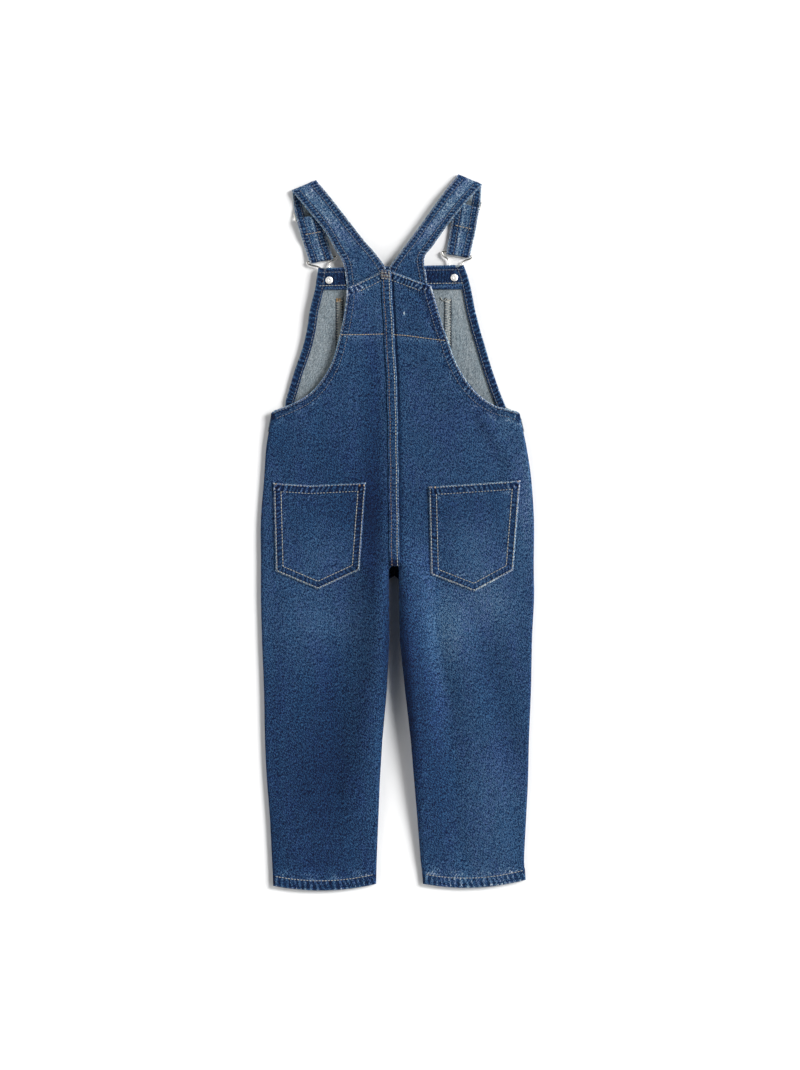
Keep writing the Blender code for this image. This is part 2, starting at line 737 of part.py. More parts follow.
def strap_path(side):
    """Edge pairs of the strap's middle surface from its sewn base to the end that wraps the slider."""
    path = []
    for ruling in closer_rulings(STRAP_UPPER[side]):
        outer = Vector((ruling.outer_x, ruling.outer_y, ruling.z))
        inner = Vector((ruling.inner_x, ruling.inner_y, ruling.z))
        path.append((outer, inner))
    outer, inner = path[-1]
    crease = (inner - outer).normalized()
    away = Vector((-crease.y, crease.x, 0.0))
    if away.y < 0:
        away.negate()
    centre_z = outer.z - FOLD_RADIUS
    for k in range(1, FOLD_STEPS):
        angle = math.pi * k / FOLD_STEPS
        shift = away * (FOLD_RADIUS * math.sin(angle))
        z = centre_z + FOLD_RADIUS * math.cos(angle)
        path.append(tuple(Vector((p.x, p.y, z)) + shift for p in (outer, inner)))
    low = STRAP_PLY / 2
    bar = SLIDER_PLACE[side]
    bridge = bar + SLIDER_BARS
    over_bar = 2 * SLIDER_WIRE_RADIUS + GAP + low
    loop = WIRE_RADIUS + GAP + low  # radius of the cloth round the buckle's bar
    loop_at = loop + low
    loop_z = low + loop
    wrap = SLIDER_WIRE_RADIUS + GAP + low
    tail_z = STRAP_PLY + GAP + low
    over_tail = tail_z + STRAP_PLY + GAP
    wrap_z = tail_z + wrap
    down = [
        (front_length(side), low),
        (bridge + BRIDGE_RUN, low),
        (bridge + BRIDGE_CREST, over_bar - GAP),
        (bridge, over_bar),
        (bridge - BRIDGE_CREST, over_bar - GAP),
        (bridge - BRIDGE_RUN, low),
        (loop_at + 2 * BRIDGE_RUN, low),
        (loop_at, low),
    ]
    down += half_turn(loop_at, loop_z, loop, -1, up=True)
    down += [
        (loop_at, loop_z + loop),
        (loop_at + BRIDGE_RUN, mix(loop_z + loop, tail_z, 0.6)),
        (loop_at + 2 * BRIDGE_RUN, tail_z),
        (bar - TAIL - BRIDGE_RUN, tail_z),
        (bar - TAIL - GAP, over_tail),
        (bar - TAIL / 2, over_tail + 2 * GAP),
        (bar, wrap_z + wrap),
    ]
    down += half_turn(bar, wrap_z, wrap, 1, up=False)
    down += [(bar, tail_z), (bar - TAIL / 2, tail_z), (bar - TAIL, tail_z)]
    path += [front_ruling(side, distance, z) for distance, z in down]
    return path


def closer_rulings(rulings):
    """The rulings with smooth ones halfway between each two."""
    close = []
    for i, (low, high) in enumerate(zip(rulings, rulings[1:])):
        before = rulings[max(i - 1, 0)]
        after = rulings[min(i + 2, len(rulings) - 1)]
        close.append(low)
        close.append(Ruling(*(through(a, b, c, d, 0.5) for a, b, c, d in zip(before, low, high, after))))
    close.append(rulings[-1])
    return close


def strap(side):
    path = strap_path(side)
    upper, lower = [], []
    for i, (outer, inner) in enumerate(path):
        before = path[max(i - 1, 0)]
        after = path[min(i + 1, len(path) - 1)]
        along = (after[0] + after[1] - before[0] - before[1]).normalized()
        normal = along.cross(inner - outer).normalized() * (STRAP_PLY / 2)
        upper.append([outer + normal, inner + normal])
        lower.append([outer - normal, inner - normal])
    cloth_wall(f"strap_{side}", upper, lower, DENIM_FACE)


def slider(side):
    """The adjuster: a wire loop. The strap's end wraps its lower bar; the strap runs over its upper one."""
    low = STRAP_PLY / 2
    wrap = SLIDER_WIRE_RADIUS + GAP + low
    lower_z = STRAP_PLY + GAP + low + wrap
    bar = SLIDER_PLACE[side]
    ends = []
    for distance, z in ((bar, lower_z), (bar + SLIDER_BARS, SLIDER_WIRE_RADIUS)):
        outer, inner = front_ruling(side, distance, z)
        beyond = (outer - inner).normalized() * (2 * GAP + SLIDER_WIRE_RADIUS)
        ends.append((outer + beyond, inner - beyond))
    corners = [ends[0][0], ends[0][1], ends[1][1], ends[1][0]]
    wire_loop(f"slider_{side}", bent(corners, SLIDER_CORNER, 1), SLIDER_WIRE_RADIUS)


def buckle(side):
    """The bent wire that hangs in the strap's end and hooks round the button's shank."""
    corners = [Vector(point) for point in BUCKLE_WIRES[side]]
    wire_loop(f"buckle_{side}", bent(corners, BEND_CUT, BEND_STEPS), WIRE_RADIUS)


def button(side):
    """The jeans button on the bib's outer side, and the small round back of it that shows inside."""
    x, y = BUTTONS[side]
    rim = BUTTON_RADIUS
    shank_top = bib_level(y) - GAP
    profile = [
        (0, 0),
        (rim - BUTTON_EDGE, 0),
        (rim, BUTTON_EDGE),
        (rim, BUTTON_CAP - BUTTON_EDGE / 2),
        (rim - BUTTON_EDGE / 2, BUTTON_CAP),
        (SHANK_RADIUS, BUTTON_CAP),
        (SHANK_RADIUS, shank_top),
        (0, shank_top),
    ]
    turned_piece(f"button_{side}", profile, (x, y), STEEL)
    rim = RIVET_RADIUS
    foot = bib_level(y) + DENIM + TURN_IN + 2 * GAP
    head = foot + RIVET_HEIGHT
    profile = [
        (0, foot),
        (rim, foot),
        (rim, head - RIVET_DIMPLE),
        (rim - RIVET_DIMPLE, head),
        (3 * RIVET_DIMPLE, head),
        (2 * RIVET_DIMPLE, head - RIVET_DIMPLE),
        (0, head - RIVET_DIMPLE),
    ]
    turned_piece(f"rivet_{side}", profile, (x, y), STEEL)


def build():
    for old in list(bpy.data.objects):
        bpy.data.objects.remove(old, do_unlink=True)
    for side in ("left", "right"):
        body_panels(side)
        back_pocket(side)
        strap(side)
        slider(side)
        buckle(side)
        button(side)
    centre_back_seam()
    bib()


build()
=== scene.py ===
"""Looks of a child's denim dungarees that lie flat on their front, with the back up.

Lengths in the tables are millimetres: +X is the wearer's right, +Y points from the hems to the shoulders and Z
is the height above the surface. The shells repeat the solids' own tables on finer grids, and add the creases,
the puckered seams, the stitches and the washed cloth.
"""

import math
from collections import namedtuple

import bmesh
import bpy
import numpy as np
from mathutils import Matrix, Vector


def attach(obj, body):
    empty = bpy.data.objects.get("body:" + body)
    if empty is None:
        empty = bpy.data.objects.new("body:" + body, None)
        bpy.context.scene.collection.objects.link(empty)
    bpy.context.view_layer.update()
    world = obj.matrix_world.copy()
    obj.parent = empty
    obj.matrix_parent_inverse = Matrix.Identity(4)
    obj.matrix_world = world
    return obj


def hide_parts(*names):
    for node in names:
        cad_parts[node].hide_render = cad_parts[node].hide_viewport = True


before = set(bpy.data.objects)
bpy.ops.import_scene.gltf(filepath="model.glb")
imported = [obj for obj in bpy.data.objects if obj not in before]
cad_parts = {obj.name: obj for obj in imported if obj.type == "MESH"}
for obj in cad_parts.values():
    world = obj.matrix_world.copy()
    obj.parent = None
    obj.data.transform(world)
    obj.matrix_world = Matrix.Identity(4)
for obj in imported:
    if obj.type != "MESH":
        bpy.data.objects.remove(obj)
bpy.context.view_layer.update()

MM = 0.001
SIDES = ("left", "right")
OUTWARD = {"left": -1, "right": 1}

# Cloth and sewing
DENIM = 1.2  # one ply of the washed denim with its nap
SHELL = 1.0  # thickness of a shell, a little under the ply that it stands for
THIN_SHELL = 0.9  # where a turned edge lies under it
FELL_SHELL = 0.6
TURN_IN = 1.0
STRAP_PLY = 1.4
GAP = 0.3

# Heights of the flat-laid body
BACK_CROWN = 6.0
SEAM_HEIGHT = 3.0
SEAM_TURN = 4.0
ARMHOLE_LIFT = 1.6  # the free armhole edges stand a little off the bib
ARMHOLE_LIFT_WIDTH = 55.0

# Places along the length
CROTCH_Y = -33.0
INSEAM_Y = -43.0
FRONT_CROTCH_Y = -50.0
INSEAM_TURN = 10.0
WAIST_Y = 115.0
TURN_ENDS_Y = 122.0
BIB_TURN_ENDS_Y = 140.0
ARMHOLE_Y = 142.0
SEAM_TOP_Y = 300.0
HEM_Y = -409.0
HEM_FADE = 60.0  # the hem's bow dies out over this length

# Hems
ARMHOLE_HEM = 11.0
ARMHOLE_HEM_MAX = 24.0
BIB_HEM = 9.8
BIB_HEM_START_Y = 143.0
BIB_FACING_START_Y = 278.3
LEG_HEM = 11.5
SEAM_FELL = 11.4
FELL_ROWS = (2.4, 8.9)  # stitch rows from the folded edge
TOP_BAND = 11.5
POCKET_HEM = 11.0


def rows_of(kind, *rows):
    """A table whose rows have named columns."""
    return tuple(kind(*row) for row in rows)


Row = namedtuple("Row", "outer_x outer_y inner_x inner_y")
# From leg hem to top edge. From its crotch up, a panel's inner edge follows the centre seam instead.
LEFT_ROWS = rows_of(
    Row,
    (-143.0, -406.6, -24.5, -404.4), (-143.4, -393.0, -24.2, -392.0), (-144.3, -377.0, -23.8, -377.0),
    (-146.6, -331.0, -22.0, -331.0), (-150.1, -285.0, -20.1, -285.0), (-152.4, -239.0, -17.3, -239.0),
    (-153.5, -182.0, -12.1, -182.0), (-155.8, -124.0, -9.1, -124.0), (-157.0, -78.0, -9.4, -78.0),
    (-157.0, FRONT_CROTCH_Y, -9.8, FRONT_CROTCH_Y), (-157.0, INSEAM_Y, -9.8, INSEAM_Y),
    (-157.0, CROTCH_Y, 0.0, CROTCH_Y), (-157.0, 14.0, 0.0, 14.0), (-153.5, 60.0, 0.0, 60.0),
    (-151.2, 94.0, 0.0, 94.0), (-148.1, WAIST_Y, 0.0, WAIST_Y), (-145.6, 130.0, 0.0, 131.0),
    (-143.6, 138.0, 0.0, 139.0), (-128.0, 144.6, 0.0, 146.5), (-117.5, 149.4, 0.0, 152.5),
    (-106.0, 155.6, 0.0, 160.0), (-94.5, 165.3, 0.0, 170.0), (-84.4, 178.6, 0.0, 183.0),
    (-76.2, 193.0, 0.0, 197.0), (-71.0, 208.4, 0.0, 213.0), (-66.7, 225.6, 0.0, 231.0),
    (-63.4, 240.0, 0.0, 247.0), (-61.2, 251.7, 0.0, 262.0), (-58.9, 267.0, 0.0, 283.0),
    (-58.5, 279.5, 0.0, 301.6),
)
RIGHT_ROWS = rows_of(
    Row,
    (147.4, -399.7, 29.3, -404.3), (146.6, -388.0, 28.2, -391.0), (145.5, -377.0, 26.5, -377.0),
    (147.8, -331.0, 22.9, -331.0), (150.1, -285.0, 19.0, -285.0), (151.2, -239.0, 15.2, -239.0),
    (153.5, -182.0, 8.6, -182.0), (154.7, -124.0, 2.5, -124.0), (157.0, -78.0, 1.7, -78.0),
    (156.8, FRONT_CROTCH_Y, 1.5, FRONT_CROTCH_Y), (156.7, INSEAM_Y, 1.5, INSEAM_Y),
    (156.7, CROTCH_Y, 0.0, CROTCH_Y), (156.9, 14.0, 0.0, 14.0), (153.9, 60.0, 0.0, 60.0),
    (149.0, 94.0, 0.0, 94.0), (144.8, WAIST_Y, 0.0, WAIST_Y), (141.5, 130.0, 0.0, 130.0),
    (139.0, 137.4, 0.0, 139.0), (124.7, 141.8, 0.0, 146.0), (111.4, 145.6, 0.0, 152.0),
    (93.8, 157.2, 0.0, 166.0), (78.5, 174.8, 0.0, 184.0), (65.3, 199.0, 0.0, 206.0), (58.7, 218.8, 0.0, 228.0),
    (52.1, 236.4, 0.0, 248.0), (44.6, 262.0, 0.0, 276.0), (38.7, 282.5, 0.0, 301.8),
)
PANEL_ROWS = {"left": LEFT_ROWS, "right": RIGHT_ROWS}
CORNER_ROW = 17  # the row at the armhole's lower corner
HEM_BOW = {"left": -6.5, "right": -7.2}  # the hem dips below its corners

SeamPoint = namedtuple("SeamPoint", "y x")
CENTRE_SEAM = rows_of(SeamPoint, (CROTCH_Y, -3.45), (113.0, -5.2), (167.0, -6.3), (302.0, -13.7))

BibRow = namedtuple("BibRow", "left_x left_y right_x right_y")
BIB_ROWS = rows_of(
    BibRow,
    (-148.1, WAIST_Y + GAP, 144.8, WAIST_Y + GAP), (-145.6, 129.0, 141.8, 129.0), (-143.2, 137.4, 138.6, 137.0),
    (-130.5, BIB_HEM_START_Y, 124.8, BIB_HEM_START_Y), (-128.2, 151.8, 121.3, 151.8),
    (-124.8, 163.3, 116.7, 163.3), (-117.9, 186.3, 108.7, 186.3), (-109.8, 209.3, 101.8, 209.3),
    (-104.1, 232.3, 94.9, 232.3), (-100.6, 255.3, 89.1, 255.3), (-94.9, BIB_FACING_START_Y, 84.2, 280.6),
    (-92.7, 292.0, 80.4, 295.0), (-91.0, 303.5, 76.0, 306.8),
)

# Underside of the bib, y and z: it lies on its pocket and is propped on the two buttons.
BIB_LEVELS = ((-500.0, 0.0), (128.0, 0.0), (152.0, 1.7), (220.0, 3.5), (283.0, 5.4), (500.0, 5.4))

Fold = namedtuple("Fold", "x0 y0 x1 y1 half_width height")
# The largest soft folds of the body. A ridge lifts the front with the back.
FOLDS = rows_of(
    Fold,
    (-58.0, -120.0, -72.0, -300.0, 30.0, -1.6), (-110.0, -90.0, -112.0, -190.0, 34.0, 1.2),
    (-38.0, -190.0, -48.0, -330.0, 24.0, 1.4), (-118.0, -250.0, -112.0, -350.0, 30.0, 0.9),
    (32.0, -100.0, 62.0, -250.0, 26.0, -1.5), (62.0, -100.0, 92.0, -200.0, 30.0, 1.7),
    (104.0, -110.0, 132.0, -250.0, 24.0, -1.3), (92.0, -270.0, 104.0, -370.0, 34.0, 1.2),
    (-106.0, 90.0, -100.0, 108.0, 26.0, 0.8), (60.0, 120.0, 74.0, 86.0, 24.0, 0.8),
)

PocketShape = namedtuple("PocketShape", "top_outer top_middle top_inner foot_inner foot_middle foot_outer")
BACK_POCKETS = {
    "left": PocketShape(
        (-142.6, 56.4), (-100.0, 53.8), (-36.1, 56.8), (-43.6, -43.9), (-91.2, -66.0), (-140.0, -45.3)
    ),
    "right": PocketShape(
        (141.2, 59.3), (88.5, 55.6), (35.9, 52.2), (38.3, -48.9), (88.3, -68.4), (133.2, -44.0)
    ),
}
BibPocket = namedtuple("BibPocket", "left right top foot")
BIB_POCKET = BibPocket(left=-68.0, right=57.0, top=268.0, foot=154.0)

Ruling = namedtuple("Ruling", "outer_x outer_y inner_x inner_y z")
# Back stretch of each strap, from its end under the top edge of the back up to the fold.
STRAP_UPPER = {
    "left": rows_of(
        Ruling,
        (-57.0, 274.0, -15.0, 291.5, 8.95), (-58.9, 288.0, -13.2, 302.0, 8.95),
        (-62.3, 308.2, -24.7, 319.1, 8.7), (-71.9, 325.1, -39.1, 335.8, 8.3), (-84.3, 346.4, -55.3, 356.5, 8.0),
        (-102.9, 369.2, -74.2, 380.9, 7.7), (-112.2, 380.6, -83.5, 392.3, 6.4),
        (-120.7, 390.9, -92.2, 402.7, 4.5),
    ),
    "right": rows_of(
        Ruling,
        (34.5, 274.5, -10.4, 291.5, 8.95), (33.6, 291.0, -10.2, 302.5, 8.95), (30.8, 314.0, 1.2, 318.6, 8.7),
        (40.9, 328.8, 14.4, 336.4, 8.4), (59.7, 355.2, 30.5, 358.3, 8.1), (77.6, 377.2, 50.0, 385.8, 7.7),
        (87.0, 387.6, 59.5, 397.8, 6.4), (96.2, 397.5, 68.7, 409.3, 4.5),
    ),
}
# Front stretch, from the buckle up to the fold, in plan.
STRAP_FRONT = {
    "left": rows_of(
        Row,
        (-100.2, 308.3, -73.6, 313.6), (-108.7, 333.5, -81.7, 338.1), (-115.6, 357.7, -87.4, 363.4),
        (-119.7, 376.1, -91.2, 385.3), (-120.7, 390.9, -92.2, 402.7),
    ),
    "right": rows_of(
        Row,
        (82.6, 314.9, 55.9, 319.0), (89.1, 343.3, 61.0, 349.6), (94.0, 370.9, 65.6, 377.8),
        (95.8, 382.4, 68.2, 393.3), (96.2, 397.5, 68.7, 409.3),
    ),
}
# Corners (x, y, z) of the buckle's bent wire, the bar that hangs in the strap first.
BUCKLE_WIRES = {
    "left": (
        (-104.0, 310.3, 2.7), (-70.0, 317.1, 2.7), (-70.4, 313.0, 2.8), (-78.2, 310.6, 3.1),
        (-78.9, 303.5, 3.8), (-71.9, 293.5, 4.1), (-73.5, 282.9, 4.1), (-83.3, 282.9, 4.1), (-84.9, 293.5, 4.1),
        (-87.4, 302.5, 3.8), (-92.0, 305.2, 3.3), (-100.2, 306.6, 3.1), (-103.4, 308.2, 2.8),
    ),
    "right": (
        (85.6, 317.2, 2.7), (50.3, 322.6, 2.7), (52.2, 317.3, 2.9), (58.8, 313.4, 3.1), (60.0, 305.6, 3.8),
        (58.8, 296.5, 4.1), (60.4, 285.8, 4.1), (70.2, 285.8, 4.1), (71.8, 296.5, 4.1), (74.2, 305.6, 3.8),
        (74.7, 310.8, 3.1), (85.2, 314.4, 2.8),
    ),
}
BUTTONS = {"left": (-78.4, 289.2), "right": (65.3, 292.1)}

# Hardware
WIRE_RADIUS = 1.0
SLIDER_WIRE_RADIUS = 0.8
BUTTON_RADIUS = 8.5
BUTTON_CAP = 2.6
BUTTON_EDGE = 0.9
SHANK_RADIUS = 3.2
RIVET_RADIUS = 4.2
RIVET_HEIGHT = 1.2
RIVET_DIMPLE = 0.5
TURNED_STEPS = 48
WIRE_FACETS = 5  # fineness of a wire's round section
WELD = 1e-6  # metres
SHARP_ANGLE = 50.0
BEND_CUT = 4.0
BEND_STEPS = 8
SLIDER_PLACE = {"left": 52.0, "right": 58.0}
SLIDER_BARS = 10.0
SLIDER_CORNER = 1.0
SLIDER_CORNER_STEPS = 4

# The strap's way round the slider and the buckle
RULING_STEPS = 6  # rows between two rulings of the table
FOLD_RADIUS = 1.9
FOLD_STEPS = 12
TAIL = 21.0
BARTACK = 34.0  # the row across the strap's sewn end, from its lower end
BRIDGE_RUN = 7.0
BRIDGE_CREST = 2.6
LOOP_STEPS = 12

# Grid fineness
PANEL_STEP = 1.8  # between rows of a body panel
PANEL_COLUMNS = 66
BIB_STEP = 2.0
BIB_COLUMNS = 150
EDGE_COLUMNS = 12  # over a rolled or hemmed edge
HIDDEN_STEP = 5.0
HIDDEN_COLUMNS = 28
STRIP_STEP = 1.4
STRIP_COLUMNS = 12
FELL_COLUMNS = 17
LINE_STEP = 1.5  # between points of a line that stitches follow
STRAIGHT = 1e-3  # two edges that turn less than this are one line
FACING_ROWS, FACING_COLUMNS = 24, 100
EDGE_THIN, HEM_THIN, INSEAM_THIN = 3, 4, 6  # every so many points of an edge are enough to measure from

# Creases finer than the solids' folds: the sag beside the centre seam, pulls at the pockets, drag lines in the legs.
CREASES = rows_of(
    Fold,
    (-22.0, 150.0, -24.0, -30.0, 12.0, -1.1), (-93.0, 128.0, -96.0, 72.0, 14.0, -0.7),
    (86.0, 132.0, 118.0, 70.0, 12.0, -1.0), (100.0, 128.0, 131.0, 82.0, 11.0, 0.8),
    (3.0, 286.0, 27.0, 267.0, 5.0, -0.8), (27.0, 267.0, 38.0, 238.0, 6.0, -0.8),
    (38.0, 238.0, 45.0, 219.0, 6.0, -0.5), (17.0, -84.0, 28.0, -250.0, 12.0, -1.0),
    (86.0, -108.0, 138.0, -285.0, 22.0, -0.9), (28.0, -64.0, 44.0, -205.0, 12.0, 1.0),
    (-70.0, -140.0, -71.0, -300.0, 16.0, -0.9), (-22.0, -70.0, -34.0, -260.0, 13.0, 1.0),
    (-8.0, -50.0, -46.0, -92.0, 9.0, -0.6), (2.0, -46.0, 34.0, -86.0, 9.0, -0.6),
    (-128.0, -60.0, -133.0, -210.0, 15.0, 0.7), (-44.0, 62.0, -60.0, 104.0, 12.0, 0.5),
    (30.0, 60.0, 42.0, 112.0, 12.0, 0.5), (60.0, -330.0, 84.0, -392.0, 15.0, -0.6),
    (118.0, -300.0, 124.0, -380.0, 16.0, 0.8), (-112.0, -330.0, -120.0, -392.0, 14.0, 0.6),
    (-50.0, -340.0, -44.0, -396.0, 12.0, -0.5), (-40.0, 190.0, -64.0, 150.0, 14.0, 0.5),
    (30.0, 200.0, 66.0, 150.0, 15.0, 0.5),
)

Patch = namedtuple("Patch", "x y along across angle amount")
# Where the wash and wear have faded the cloth or left it dark, and painted shade: the dark patches along the legs'
# inner sides by the gap, along the left outer edge and left of the centre seam. The angle turns the long way from +Y,
# in degrees.
# The smallest is a fleck of bare weft on the yoke.
PATCHES = rows_of(
    Patch,
    (-100.0, -100.0, 62.0, 42.0, 0.0, 0.090), (-98.0, -280.0, 170.0, 62.0, 0.0, -0.100),
    (-60.0, 70.0, 90.0, 70.0, 0.0, -0.065), (-48.0, 30.0, 40.0, 34.0, 0.0, -0.040),
    (-140.0, 105.0, 40.0, 20.0, 0.0, -0.070), (-80.0, 185.0, 30.0, 18.0, -30.0, -0.070),
    (126.0, 130.0, 40.0, 18.0, 0.0, 0.090), (148.0, 30.0, 80.0, 18.0, 0.0, 0.120),
    (100.0, -55.0, 45.0, 40.0, 0.0, 0.080), (62.0, -125.0, 50.0, 26.0, 0.0, 0.090),
    (28.0, -200.0, 100.0, 24.0, 6.0, -0.130), (48.0, -310.0, 100.0, 26.0, 0.0, -0.090),
    (9.0, -115.0, 70.0, 11.0, 0.0, -0.180), (51.0, -98.0, 56.0, 34.0, 10.0, 0.090),
    (113.0, -84.0, 36.0, 30.0, 0.0, 0.090), (84.0, -8.0, 40.0, 34.0, 0.0, 0.070),
    (-92.0, -28.0, 34.0, 34.0, 0.0, 0.060), (-28.0, 50.0, 160.0, 14.0, 0.0, -0.170),
    (-30.0, -20.0, 60.0, 12.0, 0.0, -0.080), (-70.0, -250.0, 150.0, 60.0, 0.0, -0.060),
    (-75.0, -210.0, 110.0, 14.0, 0.0, -0.060), (-118.0, 10.0, 200.0, 30.0, 0.0, -0.020),
    (21.0, -150.0, 110.0, 11.0, -4.0, -0.070), (110.0, -190.0, 120.0, 20.0, 14.0, -0.050),
    (112.0, -320.0, 90.0, 34.0, 0.0, 0.050), (-20.0, 262.0, 30.0, 44.0, 0.0, 0.030),
    (88.0, -400.0, 14.0, 80.0, 0.0, 0.100), (15.0, -225.0, 80.0, 10.0, 6.0, -0.160),
    (-11.0, -120.0, 80.0, 7.0, -2.0, -0.200), (-142.0, -260.0, 160.0, 12.0, -1.0, -0.050),
    (152.0, 70.0, 120.0, 12.0, 0.0, 0.060), (-85.0, -378.0, 14.0, 70.0, 0.0, -0.050),
    (-38.0, 20.0, 60.0, 16.0, 0.0, -0.050), (78.0, -95.0, 50.0, 50.0, 0.0, 0.050),
    (-80.0, -330.0, 90.0, 60.0, 0.0, -0.030), (-74.0, -103.0, 24.0, 44.0, 0.0, 0.070),
    (53.0, -20.0, 60.0, 14.0, 0.0, -0.050), (102.0, -320.0, 110.0, 40.0, 0.0, 0.030),
    (-96.0, -320.0, 110.0, 42.0, 0.0, -0.025), (-142.0, -355.0, 60.0, 10.0, -1.0, -0.060),
    (10.0, -150.0, 70.0, 7.0, 2.0, -0.080), (7.5, 251.0, 2.1, 1.4, 0.0, 0.850),
    (-62.0, 30.0, 24.0, 66.0, 0.0, -0.045), (64.0, 30.0, 24.0, 66.0, 0.0, -0.055),
    (44.0, 246.0, 45.0, 9.0, 18.0, -0.090), (-40.0, 280.0, 26.0, 8.0, -55.0, 0.110),
    (20.0, 262.0, 30.0, 14.0, 0.0, -0.045),
)

# The yoke's seam over both halves, and which points of it each half is stitched along.
SHOULDER_YOKE = ((-68.0, 226.4), (-40.0, 226.6), (-13.7, 227.4), (10.0, 225.6), (32.0, 222.6), (54.6, 219.7))
YOKE_SPANS = {"left": slice(0, 3), "right": slice(2, 6)}

# The bulky inside leg seams and crotch hold the thighs up beside the gap: their lift and how far it spreads.
THIGH_LIFT = {
    "left": (
        (-350.0, 0.0), (-280.0, 4.0), (-200.0, 10.0), (-120.0, 14.5),
        (-50.0, 14.5), (-20.0, 8.0), (30.0, 1.5), (70.0, 0.0),
    ),
    "right": (
        (-392.0, 0.0), (-350.0, 3.5), (-300.0, 8.0), (-240.0, 12.5), (-180.0, 15.0), (-110.0, 16.0),
        (-50.0, 14.5), (-20.0, 8.0), (30.0, 1.5), (70.0, 0.0),
    ),
}
THIGH_CREST, THIGH_SPREAD = 4.0, 52.0
SEAM_LIFT_SHARE = 0.75
BACK_TURN = 12.0
FRONT_TURN = 14.0  # the front curves up to the lifted inside leg over this width
FULL_TURN_LIFT = 13.0  # and over all of it where the leg is lifted this far

# Fading runs from 0, raw indigo, over 0.5, the washed cloth, to worn white.
# The same fading also carries painted shade: in some patches, the rolled edges, the bands' feet, the groove by the
# felled strip, the strap tail's groove, the crotch and the overlock's rows.
WORN_WHITE = 1.25
FADE = {"back": 0.48, "pocket": 0.47, "strap": 0.57, "strip": 0.48, "hem": 0.41, "front": 0.48, "inside": 0.52}
STRAP_BACK_FADE = 0.42  # a strap's wrong side, which shows its undyed weft

Band = namedtuple("Band", "width rows pitch slant seed raised edge mottle")
# A stitched doubled edge: its width, its stitch rows' distances from the edge, the length and lean of its puckers,
# how much it stands up, and how worn its edge and the crests of its puckers are.
ARMHOLE_BAND = Band(ARMHOLE_HEM, (2.2, 9.0), 4.2, 0.3, 1.3, 0.5, 0.56, 0.36)
TOP_EDGE_BAND = Band(TOP_BAND, (1.8, 9.6), 4.8, -0.2, 2.9, 0.7, 0.48, 0.42)
LEG_BAND = Band(LEG_HEM + 0.6, (11.3,), 6.2, 0.3, 4.4, 0.5, 0.26, 0.34)
POCKET_SIDE_BAND = Band(9.6, (1.6, 8.6), 4.8, 0.3, 0.7, 0.2, 0.50, 0.16)
POCKET_TOP_BAND = Band(POCKET_HEM, (1.6, 9.6), 5.6, 0.45, 3.6, 0.6, 0.50, 0.34)
BIB_SIDE_BAND = Band(BIB_HEM + 2.0, (8.0,), 5.0, 0.2, 5.2, 0.0, 0.34, 0.20)
FACING_BAND = Band(27.0, (5.4, 20.7), 3.8, 0.15, 6.1, 0.0, 0.36, 0.08)
STRAP_BAND = Band(9.4, (2.0, 8.0), 3.8, 0.2, 7.7, 0.3, 0.48, 0.30)
FELL_BAND = ARMHOLE_BAND._replace(pitch=4.4, slant=0.1, seed=8.8)

# How every band puckers, in mm, and how it wears
PUCKER_HEIGHT = 0.42
PUCKER_SHADE = 0.24  # the valleys of the puckers keep their indigo
BAND_SHADE = 0.04
ROW_DENT, ROW_SHADE, ROW_HALF_WIDTH = 0.34, 0.10, 1.5  # a stitch row draws the cloth in
WORN_EDGE, WORN_EDGE_FULL = 2.3, 1.0  # the folded edge is rubbed pale from here, and fully from there
WELT, WELT_HALF_WIDTH = 3.2, 1.6  # the dark line inside it
BACK_EDGE, BIB_EDGE, FOLDED_EDGE = (1.6, 1.1), (1.3, 0.9), (1.2, 0.5)  # radius and drop of their rounding
WHISKERS, WHISKER_FADE, BAND_FOOT_SHADE = 9.0, 0.34, 0.06  # pale streaks that run on past the band, over a painted shade along its foot

# Sewing
STITCH = 2.7  # length of one stitch on the surface
STITCH_PITCH = 3.5
CLOSE_PITCH = 3.0  # on the yoke and across the top of the centre seam
TACK_PITCH = 2.9  # on the seat pockets' bartacks and beside the overlock's loops
DENSE_PITCH = 2.8  # on the bib pocket's bartack
THREAD_RADIUS = 0.40  # thick jeans thread
THREAD_SINK = 0.12  # height of a row's middle over the cloth that it is drawn into
POCKET_SINK, HEM_SINK, OVERLOCK_SINK = 0.25, 0.1, 0.15  # the same on the seat pockets, and inside the bib
THREAD_FACETS = 1
LOOSE_THICKNESS, LOOSE_SWELL, LOOSE_BEAT = 1.2, 0.4, 1.9  # an unbroken thread swells and thins along its way
OVERLOCK = 7.2  # width of the looped strips along the bib pocket's seams, and where their left edges are
OVERLOCK_STARTS = (-70.2, 54.2)
OVERLOCK_PITCH = 1.5
THREAD_END = ((61.8, 267.6), (58.6, 266.0), (56.0, 268.4), (53.2, 265.2), (50.4, 267.2), (49.6, 269.4))
GOLD, STRAW, TAN, RUST, DUSKY, NAVY, CREAM = "gold", "straw", "tan", "rust", "dusky", "navy", "cream"

# Light and camera
FLOOR_HALF = 6.0  # metres
FLOOR_DROP = 0.2
PAPER_WHITE = 0.92
SIDE_STRENGTH = 4.0  # the softboxes stand to the left and right of the table
LEFT_SHARE, RIGHT_SHARE = 0.78, 1.14
LEFT_TO_RIGHT = (-0.3, 0.3)
TOP_STRENGTH = 0.07  # above it is only the camera
SIDE_TO_TOP = (0.45, 0.85)
END_SHARE = 0.03  # and little light comes from beyond its ends
KEY_STRENGTH = 3.4
KEY_SPREAD = 22.0
KEY_AZIMUTH = 24.0  # degrees from +X towards +Y
KEY_ELEVATION = 34.0
CAMERA_DISTANCE = 6.0
SENSOR_HEIGHT = 24.0
FAR_CLIP = 50.0
VIEW_HEIGHT = 1.2305
VIEW_X, VIEW_Y = 0.0029, -0.00345


# Reading the tables


def mix(a, b, t):
    return a + (b - a) * t


